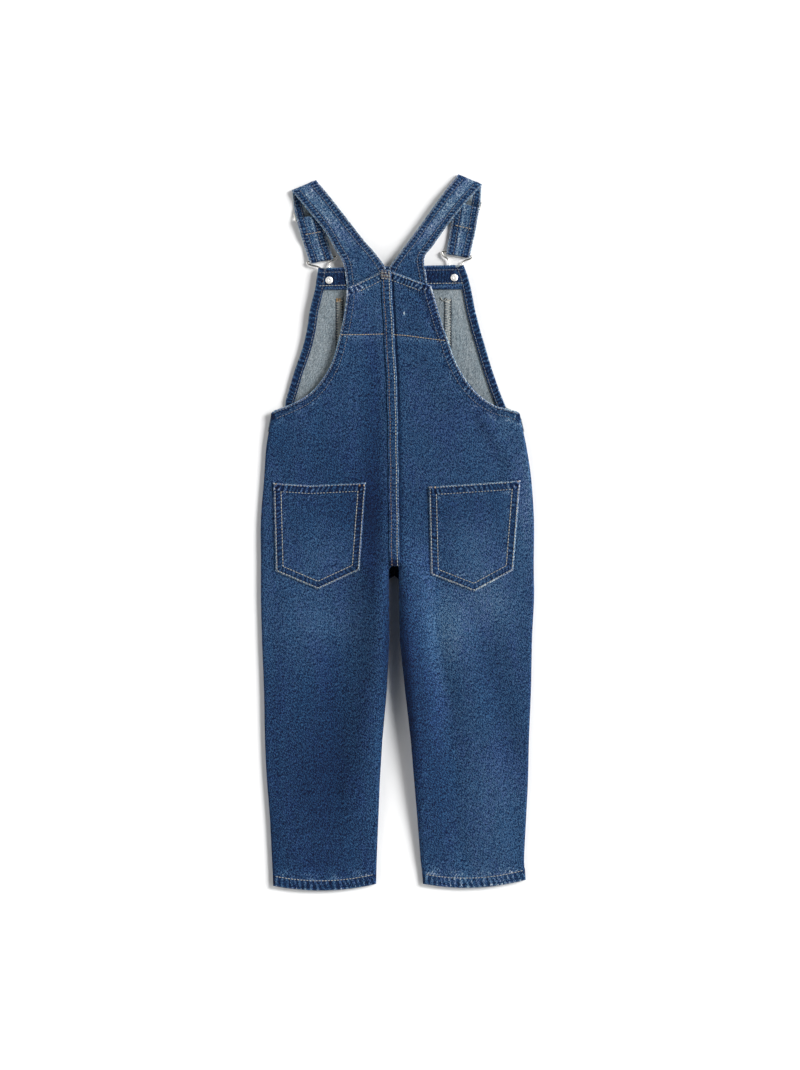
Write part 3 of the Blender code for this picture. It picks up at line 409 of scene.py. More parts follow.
def smoothstep(low, high, value):
    t = np.clip((value - low) / (high - low), 0.0, 1.0)
    return t * t * (3.0 - 2.0 * t)


def hump(distance, half_width):
    """1 on a line and 0 from half a width on, smooth at both."""
    return np.clip(1.0 - (distance / half_width) ** 2, 0.0, None) ** 2


def through(a, b, c, d, t):
    """Catmull-Rom value between b and c."""
    return 0.5 * (2 * b + (c - a) * t + (2 * a - 5 * b + 4 * c - d) * t**2 + (3 * b - a - 3 * c + d) * t**3)


def stack(*coordinates):
    """Places from their coordinates."""
    return np.stack(coordinates, axis=-1)


def read(table, place):
    """Value between the rows of a two-column table."""
    places, values = zip(*table)
    return np.interp(place, places, values)


def marks_along(line):
    """Distance of each point of a line from its start."""
    return np.concatenate(([0.0], np.cumsum(np.linalg.norm(np.diff(line, axis=0), axis=1))))


def at_marks(places, marks, line):
    """Points of a line at given distances."""
    return stack(*(np.interp(places, marks, line[:, k]) for k in range(line.shape[1])))


def dense(line, step=LINE_STEP):
    """The same line with points close together."""
    line = np.asarray(line, float)
    marks = marks_along(line)
    return at_marks(np.linspace(0.0, marks[-1], max(2, int(marks[-1] / step) + 1)), marks, line)


def neighbours(rows, i):
    """The rows before and after the stretch that starts at a row, or its own ends at the table's ends."""
    return rows[max(i - 1, 0)], rows[min(i + 2, len(rows) - 1)]


def closer_rows(rows, step):
    """The same edges with more rows: smooth along the first edge, straight along the second."""
    close = []
    for i, (low, high) in enumerate(zip(rows, rows[1:])):
        before, after = neighbours(rows, i)
        count = max(1, round(math.dist(low[:2], high[:2]) / step))
        for k in range(count):
            t = k / count
            first = [through(before[j], low[j], high[j], after[j], t) for j in (0, 1)]
            close.append(type(low)(*first, mix(low[2], high[2], t), mix(low[3], high[3], t)))
    close.append(rows[-1])
    return close


def turn_between(a, b):
    """Positive where plan direction b points to the left of a."""
    return a[0] * b[1] - a[1] * b[0]


def offset_line(line, distance):
    """A line of plan points moved to its left by a distance."""
    line = np.asarray(line, float)
    run = np.gradient(line, axis=0)
    run /= np.linalg.norm(run, axis=1)[:, None]
    return line + distance * stack(-run[:, 1], run[:, 0])


def inset_outline(corners, distance):
    """A closed run of straight edges, counter-clockwise, moved inwards by a distance."""
    corners = np.asarray(corners, float)
    inset = []
    for a, b, c in zip(np.roll(corners, 1, axis=0), corners, np.roll(corners, -1, axis=0)):
        first, second = (b - a) / np.linalg.norm(b - a), (c - b) / np.linalg.norm(c - b)
        normals = np.array(((-first[1], first[0]), (-second[1], second[0])))
        straight_on = abs(turn_between(first, second)) <= STRAIGHT
        inset.append(b + distance * normals[0] if straight_on else np.linalg.solve(normals, normals @ b + distance))
    return np.array(inset)


def nearest(line, x, y):
    """Distance of each place from a line of points, and how far along the line it is."""
    best = np.full(x.shape, np.inf)
    along = np.zeros(x.shape)
    start = 0.0
    for (ax, ay), (bx, by) in zip(line, line[1:]):
        length = math.hypot(bx - ax, by - ay)
        ux, uy = (bx - ax) / length, (by - ay) / length
        t = np.clip((x - ax) * ux + (y - ay) * uy, 0.0, length)
        away = np.hypot(x - ax - ux * t, y - ay - uy * t)
        closer = away < best
        best = np.where(closer, away, best)
        along = np.where(closer, start + t, along)
        start += length
    return best, along


# Heights and fading


def bib_level(y):
    return read(BIB_LEVELS, y)


def bib_top(y):
    return bib_level(y) + DENIM


def hem_level(y):
    return bib_top(y) + GAP + TURN_IN


def seam_x(y):
    low, high = CENTRE_SEAM[0], CENTRE_SEAM[1]
    below = low.x + (y - low.y) * (high.x - low.x) / (high.y - low.y)
    return np.where(y < low.y, below, read(CENTRE_SEAM, y))


def line_height(x, y, lines):
    """Sum of smooth humps and troughs round their lines."""
    total = np.zeros_like(x)
    for line in lines:
        along = np.array((line.x1 - line.x0, line.y1 - line.y0))
        t = np.clip(((x - line.x0) * along[0] + (y - line.y0) * along[1]) / (along @ along), 0.0, 1.0)
        away = np.hypot(x - line.x0 - along[0] * t, y - line.y0 - along[1] * t)
        total += line.height * hump(away, line.half_width)
    return total


def drift(x, y, pitch, seed):
    """A slow, uneven rise and fall between about -1 and 1. Its factors only keep the waves out of step."""
    a = np.sin(x / pitch + 1.7 * seed) * np.sin(y / (1.3 * pitch) + 0.6 * seed)
    b = np.sin((x + 0.8 * y) / (1.9 * pitch) + 2.9 * seed) * np.sin((y - 0.6 * x) / (0.8 * pitch) - seed)
    return 0.6 * a + 0.4 * b


def patch_fading_and_shade(x, y):
    """What the washed, the spared and the painted-shade patches add to the fading."""
    fade = np.zeros_like(x)
    for patch in PATCHES:
        turn = math.radians(patch.angle)
        dx, dy = x - patch.x, y - patch.y
        along = (dy * math.cos(turn) - dx * math.sin(turn)) / patch.along
        across = (dx * math.cos(turn) + dy * math.sin(turn)) / patch.across
        fade += patch.amount * np.exp(-1.4 * (along**2 + across**2))
    return fade


def pucker(along, across, band):
    """Uneven ripples square to a seam, between -1 and 1. Its factors keep any two of them from being alike."""
    run = (along + band.slant * across) / band.pitch + 0.30 * np.sin(along / (1.9 * band.pitch) + band.seed)
    run = run + 0.16 * np.sin(along / (0.83 * band.pitch) + 1.4 * band.seed + 0.3 * across)
    swing = 0.78 + 0.22 * np.sin(along / (1.3 * band.pitch) + 2.1 * band.seed)
    return swing * np.sin(math.tau * run + band.seed)


def band_look(away, along, band):
    """Relief in mm and change of fading over and beside a stitched doubled edge. The limits of each smoothstep are
    where it begins and where it is full, as a height of the ripple or in mm."""
    ripple = pucker(along, away, band)
    light, dark = smoothstep(0.20, 0.75, ripple), smoothstep(0.05, -0.45, ripple)
    inside = 1.0 - smoothstep(band.width - 0.7, band.width + 0.7, away)
    first = band.rows[0] if len(band.rows) > 1 else 0.0
    middle, half = (first + band.rows[-1]) / 2, (band.rows[-1] - first) / 2
    between = smoothstep(half + 0.9, half - 1.1, np.abs(away - middle))
    relief = inside * band.raised + PUCKER_HEIGHT * ripple * between
    fade = between * (band.mottle * light - PUCKER_SHADE * dark) - BAND_SHADE * inside
    for row in band.rows:
        relief -= ROW_DENT * hump(away - row, ROW_HALF_WIDTH)
        fade -= ROW_SHADE * hump(away - row, ROW_HALF_WIDTH)
    fade += band.edge * smoothstep(WORN_EDGE, WORN_EDGE_FULL, away) * (0.85 + 0.15 * ripple)
    fade -= ROW_SHADE * hump(away - WELT, WELT_HALF_WIDTH)
    past = away - band.width
    beyond = smoothstep(-0.8, 0.6, past) * (1.0 - smoothstep(1.0, WHISKERS, past))
    streak = smoothstep(0.2, 0.9, pucker(along + 0.9 * away, away, band._replace(pitch=0.6 * band.pitch)))
    # Past the band: pale streaks over a painted shade along the band's foot.
    fade += beyond * (WHISKER_FADE * streak - BAND_FOOT_SHADE)
    return relief, fade


def rounded_edge(away, radius, depth):
    """How far a folded edge drops off within its radius."""
    inwards = np.clip(away / radius, 0.0, 1.0)
    return -depth * (1.0 - np.sqrt(1.0 - (1.0 - inwards) ** 2))


# Materials


def linear(code):
    """Linear colour of an sRGB hex value."""
    values = [int(code[i : i + 2], 16) / 255 for i in (1, 3, 5)]
    return tuple(v / 12.92 if v <= 0.04045 else ((v + 0.055) / 1.055) ** 2.4 for v in values) + (1.0,)


def add(tree, kind, inputs=None, **settings):
    """Adds a node with its settings; each input is a value or the output that feeds it."""
    node = tree.nodes.new(kind)
    for key, value in settings.items():
        setattr(node, key, value)
    for key, value in (inputs or {}).items():
        if isinstance(value, bpy.types.NodeSocket):
            tree.links.new(value, node.inputs[key])
        else:
            node.inputs[key].default_value = value
    return node


def new_material(name, **sockets):
    """A material with its shader's own constants set."""
    material = bpy.data.materials.new(name)
    material.use_nodes = True
    shader = material.node_tree.nodes["Principled BSDF"]
    for key, value in sockets.items():
        shader.inputs[key.replace("_", " ")].default_value = value
    return material, material.node_tree, shader


def ramp(tree, factor, stops):
    node = add(tree, "ShaderNodeValToRGB", {"Fac": factor})
    band = node.color_ramp
    while len(band.elements) < len(stops):
        band.elements.new(0.5)
    for element, (position, code) in zip(band.elements, stops):
        element.position = position
        element.color = linear(code)
    return node.outputs["Color"]


def calculated(tree, operation, a, b):
    return add(tree, "ShaderNodeMath", {0: a, 1: b}, operation=operation).outputs[0]


def object_place(tree):
    return add(tree, "ShaderNodeTexCoord").outputs["Object"]


def grain(tree, cloth, width, length, turn, detail):
    """Noise drawn out into threads: their width and length in mm and how far they turn from the warp."""
    mapped = add(
        tree,
        "ShaderNodeMapping",
        {"Vector": cloth, "Rotation": (0.0, 0.0, math.radians(turn)), "Scale": (width * MM, length * MM, 1.0)},
        vector_type="TEXTURE",
    )
    noise = add(
        tree,
        "ShaderNodeTexNoise",
        {"Vector": mapped.outputs[0], "Scale": 1.0, "Detail": detail, "Roughness": 0.6},
        noise_dimensions="2D",
    )
    return noise.outputs["Fac"]


# Threads of the cloth. Real twill lines lie 0.6 mm apart, finer than a pixel. A dark and a pale cell of the finest
# grain take 1.2 mm, so it is drawn twice as coarse as the real one, to show at all. The second fine grain lies
# almost straight, as crossing threads do, and its small turn keeps it from beating with the rows of pixels.
TWILL_TURN = 25.0
FACE_GRAINS = (
    # width mm, length mm, turn, detail, strength
    (0.62, 2.6, TWILL_TURN, 0.0, 1.45),
    (1.1, 9.0, TWILL_TURN, 0.0, 0.42),
    (0.62, 1.6, 9.0, 0.0, 1.25),
    (1.1, 26.0, 0.0, 1.0, 0.20),
    (10.0, 16.0, 10.0, 2.0, 0.12),
)
INSIDE_GRAINS = (
    (1.2, 3.8, -TWILL_TURN, 0.5, 0.5),
    (1.0, 1.3, 0.0, 0.0, 0.5),
    (1.4, 24.0, 0.0, 1.0, 0.30),
    (16.0, 26.0, 0.0, 2.0, 0.20),
)
# Uneven dye: small and broad clouds, mixed half and half, that cast the cloth a little green or violet
CAST_GRAINS = ((3.4, 5.0, 0.0, 1.0), (28.0, 80.0, 6.0, 1.0))
CAST = 0.45
BUMP_HEIGHT = 0.3
MIX_FACTOR, MIX_A, MIX_B, MIX_RESULT = 0, 6, 7, 2  # sockets of a mix node for colours


def cloth_material(name, grains, limits, stops, casts, bump):
    """Woven cotton: its colour follows the fading painted on the piece, broken up by its own threads, which may
    darken and lighten it as far as the limits."""
    material, tree, shader = new_material(
        name, Roughness=0.92, Sheen_Weight=0.03, Sheen_Roughness=0.5, IOR=1.45, Specular_IOR_Level=0.2
    )
    cloth = add(tree, "ShaderNodeUVMap", uv_map="weave").outputs[0]
    # The fading holds the painted shade as well as the wear.
    fade = add(tree, "ShaderNodeAttribute", attribute_name="fade").outputs["Fac"]
    noises = [grain(tree, cloth, *threads) for *threads, _ in grains]
    flecks = 0.0
    for noise, (*_, strength) in zip(noises, grains):
        centred = calculated(tree, "SUBTRACT", noise, 0.5)
        flecks = calculated(tree, "ADD", flecks, calculated(tree, "MULTIPLY", centred, strength))
    kept = add(tree, "ShaderNodeClamp", {"Value": flecks, "Min": -limits[0], "Max": limits[1]})
    level = calculated(tree, "DIVIDE", calculated(tree, "ADD", fade, kept.outputs[0]), WORN_WHITE)
    shade = ramp(tree, level, [(place / WORN_WHITE, code) for place, code in stops])
    clouds = [calculated(tree, "MULTIPLY", grain(tree, cloth, *cloud), 0.5) for cloud in CAST_GRAINS]
    cast = ramp(tree, calculated(tree, "ADD", *clouds), casts)
    colour = add(
        tree,
        "ShaderNodeMix",
        {MIX_FACTOR: CAST, MIX_A: shade, MIX_B: cast},
        data_type="RGBA",
        blend_type="SOFT_LIGHT",
    )
    tree.links.new(colour.outputs[MIX_RESULT], shader.inputs["Base Color"])
    bumped = add(tree, "ShaderNodeBump", {"Height": noises[0], "Strength": bump, "Distance": BUMP_HEIGHT * MM})
    tree.links.new(bumped.outputs[0], shader.inputs["Normal"])
    return material


# Washed indigo denim, right side: ring-dyed warp over white weft. It gives dark threads with pale flecks, and worn
# ridges go white.
DENIM_FACE = cloth_material(
    "washed_indigo_denim",
    FACE_GRAINS,
    (0.40, 0.30),
    (
        (0.0, "#000820"), (0.3, "#011739"), (0.5, "#113155"), (0.7, "#2d4e71"),
        (0.86, "#4a6685"), (1.0, "#677d92"), (1.25, "#b9c2c4"),
    ),
    ((0.38, "#a6c2c8"), (0.5, "#bcbcbc"), (0.62, "#c6b4ce")),
    0.35,
)
# The same denim's wrong side: mostly undyed weft, so it is pale and greenish grey with a blue cast.
DENIM_INSIDE = cloth_material(
    "denim_wrong_side",
    INSIDE_GRAINS,
    (0.5, 0.4),
    ((0.0, "#272e35"), (0.25, "#525d64"), (0.5, "#758087"), (0.75, "#98a0a4"), (1.0, "#bac0c0")),
    ((0.3, "#b4c0c4"), (0.5, "#bcbcbc"), (0.7, "#c2bcb6")),
    0.3,
)
# Which denim looks out of a shell, and which is on its back
FACE_OUT = (DENIM_FACE, DENIM_INSIDE)
FACE_BOTH = (DENIM_FACE, DENIM_FACE)
INSIDE_OUT = (DENIM_INSIDE, DENIM_FACE)


def kept_denim():
    """Raw denim of the turned-in plies, whose solids carry no weave map, so it reads the object's own coordinates."""
    material, tree, shader = new_material("turned_in_denim", Roughness=0.9, IOR=1.45)
    threads = grain(tree, object_place(tree), 1.3, 4.2, TWILL_TURN, 1.5)
    colour = ramp(tree, threads, ((0.25, "#13243f"), (0.55, "#253f5e"), (0.8, "#496582")))
    tree.links.new(colour, shader.inputs["Base Color"])
    return material


DENIM_KEPT = kept_denim()
THREAD_TWIST = 700.0  # dark and light places of the spun thread in a metre


def thread_material(name, code, dark_code):
    """Spun polyester thread: matt, with a twist that shades it along its length."""
    material, tree, shader = new_material(name, Roughness=0.7, IOR=1.45)
    noise = add(tree, "ShaderNodeTexNoise", {"Vector": object_place(tree), "Scale": THREAD_TWIST, "Detail": 1.0})
    colour = ramp(tree, noise.outputs["Fac"], ((0.3, dark_code), (0.7, code)))
    tree.links.new(colour, shader.inputs["Base Color"])
    return material


# Jeans topstitching after washing: gold where it was spared, faded to straw on the yoke, dusty on the pockets and
# hems, rust along the centre, and grey where indigo has stained it. The overlock inside is loops of undyed thread,
# held by navy.
THREADS = {
    GOLD: thread_material("gold_jeans_thread", "#b8986c", "#80694a"),
    STRAW: thread_material("faded_jeans_thread", "#bca684", "#85765c"),
    TAN: thread_material("tan_jeans_thread", "#b2b2aa", "#7a7c7b"),
    RUST: thread_material("rust_jeans_thread", "#7f6e62", "#50464a"),
    DUSKY: thread_material("indigo_stained_thread", "#767c86", "#444b5a"),
    # Its dark rows are partly painted shade along the overlock's edges.
    NAVY: thread_material("dark_overlock_thread_and_shade", "#3a4048", "#22262e"),
    CREAM: thread_material("overlock_thread", "#f0ece0", "#b6b6ae"),
}


def metal_material(name, code, roughness, grit):
    """Plated metal: bright, with faint tumbling marks of a size in mm."""
    material, tree, shader = new_material(name, Metallic=1.0, Base_Color=linear(code))
    noise = add(tree, "ShaderNodeTexNoise", {"Vector": object_place(tree), "Scale": 1 / (grit * MM), "Detail": 2.0})
    spread = add(
        tree,
        "ShaderNodeMapRange",
        {"Value": noise.outputs["Fac"], "To Min": roughness - 0.08, "To Max": roughness + 0.1},
    )
    tree.links.new(spread.outputs[0], shader.inputs["Roughness"])
    return material


# Nickel-plated steel wire and pressed caps: nearly white and shiny, a little warm.
NICKEL = metal_material("nickel_plated_steel", "#dcdad4", 0.24, 0.9)
# The tacks are tumbled in the wash, so they are frosted: they spread the light and look white.
FROSTED = metal_material("tumbled_nickel", "#f6f5f2", 0.58, 0.5)


# Meshes


def placed(name, data):
    """A new object at the origin."""
    item = bpy.data.objects.new(name, data)
    bpy.context.scene.collection.objects.link(item)
    return item


def mesh_from(bm, name):
    mesh = bpy.data.meshes.new(name)
    bm.to_mesh(mesh)
    bm.free()
    return mesh


def finished(name, data, materials, nodes):
    """An object that rides with the garment and stands for the named solids."""
    piece = placed(name, data)
    for material in materials:
        data.materials.append(material)
    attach(piece, "root")
    if nodes:
        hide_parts(*nodes)
    return piece


Skin = namedtuple("Skin", "points weave fade")


def skin_mesh(name, skins):
    """One mesh of a grid for each skin, with its weave coordinates and its fading."""
    bm = bmesh.new()
    for skin in skins:
        rows, columns = skin.fade.shape
        bmesh.ops.create_grid(bm, x_segments=columns - 1, y_segments=rows - 1, size=1.0)
    mesh = mesh_from(bm, name)
    points = np.concatenate([skin.points.reshape(-1, 3) for skin in skins]) * MM
    weave = np.concatenate([skin.weave.reshape(-1, 2) for skin in skins]) * MM
    fade = np.concatenate([skin.fade.ravel() for skin in skins])
    mesh.vertices.foreach_set("co", points.astype(np.float32).ravel())
    corners = np.empty(len(mesh.loops), np.int32)
    mesh.loops.foreach_get("vertex_index", corners)
    mesh.uv_layers.new(name="weave").data.foreach_set("uv", weave[corners].astype(np.float32).ravel())
    mesh.attributes.new("fade", "FLOAT", "POINT").data.foreach_set("value", fade.astype(np.float32))
    mesh.shade_smooth()
    mesh.update()
    return mesh


def steps_of(points):
    """A grid's steps across and along."""
    return points[:, 1:] - points[:, :-1], points[1:] - points[:-1]


def facing(points, up):
    """Whether the grid's faces look up on the whole; up turns the question round."""
    across, along = steps_of(points)
    return (np.cross(across[:-1], along[:, :-1])[..., 2].sum() > 0) == up


def sheet_size(points):
    """Width, length and area of a skin, in metres, as it was cut."""
    across, along = steps_of(points)
    width = np.linalg.norm(across, axis=2).sum(axis=1).max()
    length = np.linalg.norm(along, axis=2).sum(axis=0).max()
    area = np.linalg.norm(np.cross(across[:-1], along[:, :-1]), axis=2).sum()
    return width * MM, length * MM, area * MM * MM


def shell(name, skin, node, up=True, cloths=FACE_OUT, thickness=SHELL):
    """A thin shell under a skin whose right side looks up, or down."""
    if not facing(skin.points, up):
        skin = Skin(*(values[:, ::-1] for values in skin))
    piece = finished(name, skin_mesh(name, [skin]), cloths, [node])
    wall = piece.modifiers.new("wall", "SOLIDIFY")
    wall.thickness = thickness * MM
    wall.offset = -1.0
    wall.material_offset = 1
    wall.material_offset_rim = 0
    return piece


def declare(points):
    width, length, area = sheet_size(points)


def round_curve(name, radius, facets):
    """A curve that is swept with a round section."""
    curve = bpy.data.curves.new(name, "CURVE")
    curve.dimensions = "3D"
    curve.bevel_depth = radius * MM
    curve.bevel_resolution = facets
    return curve


def lay(curve, points, radii, material_index=0, closed=False):
    """A run of points, with the section's scale at each."""
    spline = curve.splines.new("POLY")
    spline.points.add(len(points) - 1)
    spline.material_index = material_index
    spline.use_cyclic_u = closed
    for target, point, radius in zip(spline.points, points, radii):
        target.co = (*(np.asarray(point) * MM), 1.0)
        target.radius = radius


def swept(name, curve):
    """The curve's mesh. The curve itself is dropped."""
    maker = placed(name + "_maker", curve)
    mesh = bpy.data.meshes.new_from_object(maker.evaluated_get(bpy.context.evaluated_depsgraph_get()))
    bpy.data.objects.remove(maker)
    mesh.shade_smooth()
    return mesh


def stitches(name, rows):
    """Joined rows of stitches. Each row is (thread, points on the surface, pitch): dashes of thread in the seam, or
    one unbroken thread when it has no pitch."""
    curve = round_curve(name, THREAD_RADIUS, THREAD_FACETS)
    curve.use_fill_caps = True
    used = sorted({row[0] for row in rows})
    for thread in used:
        curve.materials.append(THREADS[thread])
    for thread, points, pitch in rows:
        points = np.asarray(points, float)
        if not pitch:
            swell = LOOSE_THICKNESS + LOOSE_SWELL * np.sin(LOOSE_BEAT * np.arange(len(points)))
            lay(curve, points, swell, used.index(thread))
            continue
        marks = marks_along(points)
        count = int(marks[-1] // pitch)
        for i in range(count):
            start = (i + 0.5) * marks[-1] / count - STITCH / 2
            dash = at_marks(start + STITCH * np.array((0.0, 0.25, 0.75, 1.0)), marks, points)
            dash[[0, 3], 2] -= THREAD_RADIUS
            lay(curve, dash, (0.5, 1.0, 1.0, 0.5), used.index(thread))
    return finished(name, swept(name, curve), (), ())


# Body panels

EDGE_ANGLES = np.linspace(0.0, math.pi / 2, EDGE_COLUMNS)
EDGE_EASE = 1.0 - np.cos(EDGE_ANGLES)  # columns crowd towards an edge
EDGE_DROP = 1.0 - np.sin(EDGE_ANGLES)  # and the cloth rolls down round it


def spread_columns(width, outer, inner, columns):
    """Distances over a row, crowded in a zone at each end."""
    middle = mix(outer, width - inner, np.arange(1, columns + 1) / (columns + 1))
    return np.concatenate((outer * EDGE_EASE, middle, width - inner * EDGE_EASE[::-1]))


def row_fullness(outer, inner, columns):
    """How far each column has risen from the rolled edges, where they are turned that much."""
    return 1.0 - np.concatenate((outer * EDGE_DROP, np.zeros(columns), inner * EDGE_DROP[::-1]))


def thigh_lift(side, y):
    return read(THIGH_LIFT[side], y)


def body_rows(side, crotch_y, step):
    """Panel rows with the inner ends set on the centre seam from the crotch up."""
    rows = []
    for row in closer_rows(PANEL_ROWS[side], step):
        if row.inner_y >= crotch_y:
            row = row._replace(inner_x=float(seam_x(row.inner_y)) + OUTWARD[side] * GAP / 2)
        rows.append(row)
    return rows


PanelGrid = namedtuple("PanelGrid", "x y fullness seam rows")


def panel_grid(side, crotch_y, step, columns, inner_turn):
    """Plan places over one half of the body, how far each has risen from the seam edges, and their lift."""
    rows = body_rows(side, crotch_y, step)
    xs, ys, full, seam = [], [], [], []
    for i, row in enumerate(rows):
        below, above = rows[max(i - 1, 0)], rows[min(i + 1, len(rows) - 1)]
        turned = 1.0 - smoothstep(TURN_ENDS_Y, ARMHOLE_Y, row.outer_y)
        inner_turned = 1.0 - smoothstep(crotch_y - INSEAM_TURN, crotch_y, row.inner_y)
        start = np.array((row.outer_x, row.outer_y))
        across = np.array((row.inner_x, row.inner_y)) - start
        width = math.hypot(*across)
        across = across / width
        edge = (above.outer_x - below.outer_x, above.outer_y - below.outer_y)
        sine = abs(turn_between(across, edge)) / math.hypot(*edge)
        zone = mix(min(ARMHOLE_HEM_MAX, ARMHOLE_HEM / sine), SEAM_TURN, turned)
        lifted = inner_turned * float(thigh_lift(side, row.inner_y)) / FULL_TURN_LIFT
        distance = spread_columns(width, zone, mix(SEAM_TURN, inner_turn, lifted), columns)
        share = distance / width
        bow = HEM_BOW[side] * (1.0 - smoothstep(0.0, HEM_FADE, row.outer_y - HEM_Y))
        xs.append(start[0] + across[0] * distance)
        ys.append(start[1] + across[1] * distance + bow * 4 * share * (1 - share))
        full.append(row_fullness(turned, inner_turned, columns))
        lift = inner_turned * SEAM_LIFT_SHARE * thigh_lift(side, ys[-1])
        seam.append(np.where(np.arange(len(distance)) < len(distance) / 2, 0.0, lift))
    return PanelGrid(np.array(xs), np.array(ys), np.array(full), np.array(seam), rows)


BACK_WAVES = ((0.22, 17.0, 1.0), (0.10, 7.0, 2.0))  # the unrest of the cloth: height, pitch and seed of each
CLOUDS, CLOUD_PITCH = 0.02, 24.0  # and of its fading
ROLLED_SHADE = 0.12  # painted shade where the seams' edges roll under
# Fraying over the leg hems: short streaks that start at the hem's stitches
FRAY_PITCH, FRAY_LENGTH, FRAY_FADE, FRAY_SHADE = 3.6, 14.0, 0.44, 0.04
FRAY_LINE = 0.20
# The yoke's seam: a step up to the shoulders, a dent along its stitches, and streaks rubbed pale below it
YOKE_STEP, YOKE_DENT, YOKE_DENT_WIDTH, YOKE_RUB = 0.35, 0.4, 1.8, 0.20
# Beside the felled strip the allowance lifts the cloth, its far edge is rubbed, and the strip's edge leaves a groove
# with a painted shadow in it
ALLOWANCE_LIFT = 0.45
ALLOWANCE_RUB_X, ALLOWANCE_RUB_WIDTH, ALLOWANCE_PITCH = -11.5, 4.5, 8.0
GROOVE_X, GROOVE_DEPTH, GROOVE_SHADE = 7.3, 0.7, 0.36


class Back:
    """The back's two halves: their edges, and the height and fading at any place."""

    def __init__(self):
        self.grids = {side: panel_grid(side, CROTCH_Y, PANEL_STEP, PANEL_COLUMNS, BACK_TURN) for side in SIDES}
        self.armhole, self.top, self.hem, self.inner = {}, {}, {}, {}
        for side, grid in self.grids.items():
            corner_y = PANEL_ROWS[side][CORNER_ROW].outer_y
            corner = next(i for i, row in enumerate(grid.rows) if row.outer_y >= corner_y)
            self.armhole[side] = stack(grid.x[corner:, 0], grid.y[corner:, 0])[::EDGE_THIN]
            self.top[side] = stack(grid.x[-1], grid.y[-1])[::EDGE_THIN]
            self.hem[side] = stack(grid.x[0], grid.y[0])
            inseam = [(row.inner_x, row.inner_y) for row in grid.rows if row.inner_y <= CROTCH_Y]
            self.inner[side] = inseam[::INSEAM_THIN] + [(CENTRE_SEAM[0].x, CROTCH_Y)]

    def look(self, side, x, y):
        """Height above the surface, and fading with its painted shade, where the panel is at its full height."""
        relief = line_height(x, y, FOLDS) + line_height(x, y, CREASES)
        away, _ = nearest(self.inner[side], x, y)
        relief += thigh_lift(side, y) * (1.0 - smoothstep(THIGH_CREST, THIGH_SPREAD, away))
        relief += sum(height * drift(x, y, pitch, seed) for height, pitch, seed in BACK_WAVES)
        fade = FADE["back"] + CLOUDS * drift(x, y, CLOUD_PITCH, 3.0) + patch_fading_and_shade(x, y)
        for part_relief, part_fade in (self.hemmed_edges(side, x, y), yoke_look(x, y), fell_bed_look(x, y)):
            relief = relief + part_relief
            fade = fade + part_fade
        return BACK_CROWN + bib_level(y) + relief, fade

    def hemmed_edges(self, side, x, y):
        """The armhole and top edges and the leg's hem, with the fraying above it."""
        relief, fade = np.zeros_like(x), np.zeros_like(x)
        for line, band in (
            (self.armhole[side], ARMHOLE_BAND),
            (self.top[side], TOP_EDGE_BAND),
            (sorted(map(tuple, self.hem[side][::HEM_THIN])), LEG_BAND),
        ):
            away, along = nearest(line, x, y)
            band_relief, band_fade = band_look(away, along, band)
            relief += band_relief + rounded_edge(away, *BACK_EDGE)
            fade += band_fade
            if band is ARMHOLE_BAND:
                relief += ARMHOLE_LIFT * hump(away, ARMHOLE_LIFT_WIDTH)
        above = away - LEG_BAND.width
        fraying = smoothstep(0.4, 0.9, pucker(along + 0.6 * away, away, LEG_BAND._replace(pitch=FRAY_PITCH)))
        frayed = smoothstep(-0.6, 0.6, above) * (1.0 - smoothstep(0.5, FRAY_LENGTH, above))
        fade += frayed * (FRAY_FADE * fraying - FRAY_SHADE) + FRAY_LINE * hump(above - 0.6, 1.4)
        return relief, fade

    def sewn(self, side, thread, line, lift=THREAD_SINK, pitch=STITCH_PITCH):
        """A row of stitches that follows the panel, lifted by what lies on it."""
        line = dense(line)
        height, _ = self.look(side, line[:, 0], line[:, 1])
        return thread, np.column_stack((line, height + lift)), pitch


def yoke_look(x, y):
    """Relief and fading of the yoke's seam."""
    away, along = nearest(SHOULDER_YOKE, x, y)
    below = read(SHOULDER_YOKE, x) - y
    relief = YOKE_STEP * smoothstep(-1.2, 0.6, -below) - YOKE_DENT * hump(away, YOKE_DENT_WIDTH)
    rubbed = smoothstep(0.0, 1.5, below) * (1.0 - smoothstep(3.0, 10.0, below)) * smoothstep(12.0, 8.0, away)
    streak = 0.5 + 0.5 * pucker(along - 0.8 * below, below, TOP_EDGE_BAND)
    return relief, YOKE_RUB * rubbed * streak


def fell_bed_look(x, y):
    """Relief and fading beside the felled strip of the centre seam, with the painted shadow in the groove."""
    seam = x - seam_x(y)
    on_seam = smoothstep(CROTCH_Y - 2.0, CROTCH_Y + 4.0, y)
    allowance = smoothstep(-19.0, -9.0, seam) * (1.0 - smoothstep(-9.0, -4.0, seam))
    relief = on_seam * (ALLOWANCE_LIFT * allowance - GROOVE_DEPTH * hump(seam - GROOVE_X, 2.4))
    ridge = pucker(y, seam, ARMHOLE_BAND._replace(pitch=ALLOWANCE_PITCH))
    rub = hump(seam - ALLOWANCE_RUB_X, ALLOWANCE_RUB_WIDTH) * (0.05 + 0.06 * ridge)
    return relief, on_seam * (rub - GROOVE_SHADE * hump(seam - GROOVE_X, 2.0))


def back_panels(back):
    for side, grid in back.grids.items():
        height, fade = back.look(side, grid.x, grid.y)
        z = mix(SEAM_HEIGHT + GAP + grid.seam, height, grid.fullness)
        points = stack(grid.x, grid.y, z)
        skin = Skin(points, stack(grid.x, grid.y), fade - ROLLED_SHADE * (1.0 - grid.fullness))
        piece = shell(f"back_panel_{side}", skin, f"back_{side}")
        declare(points)


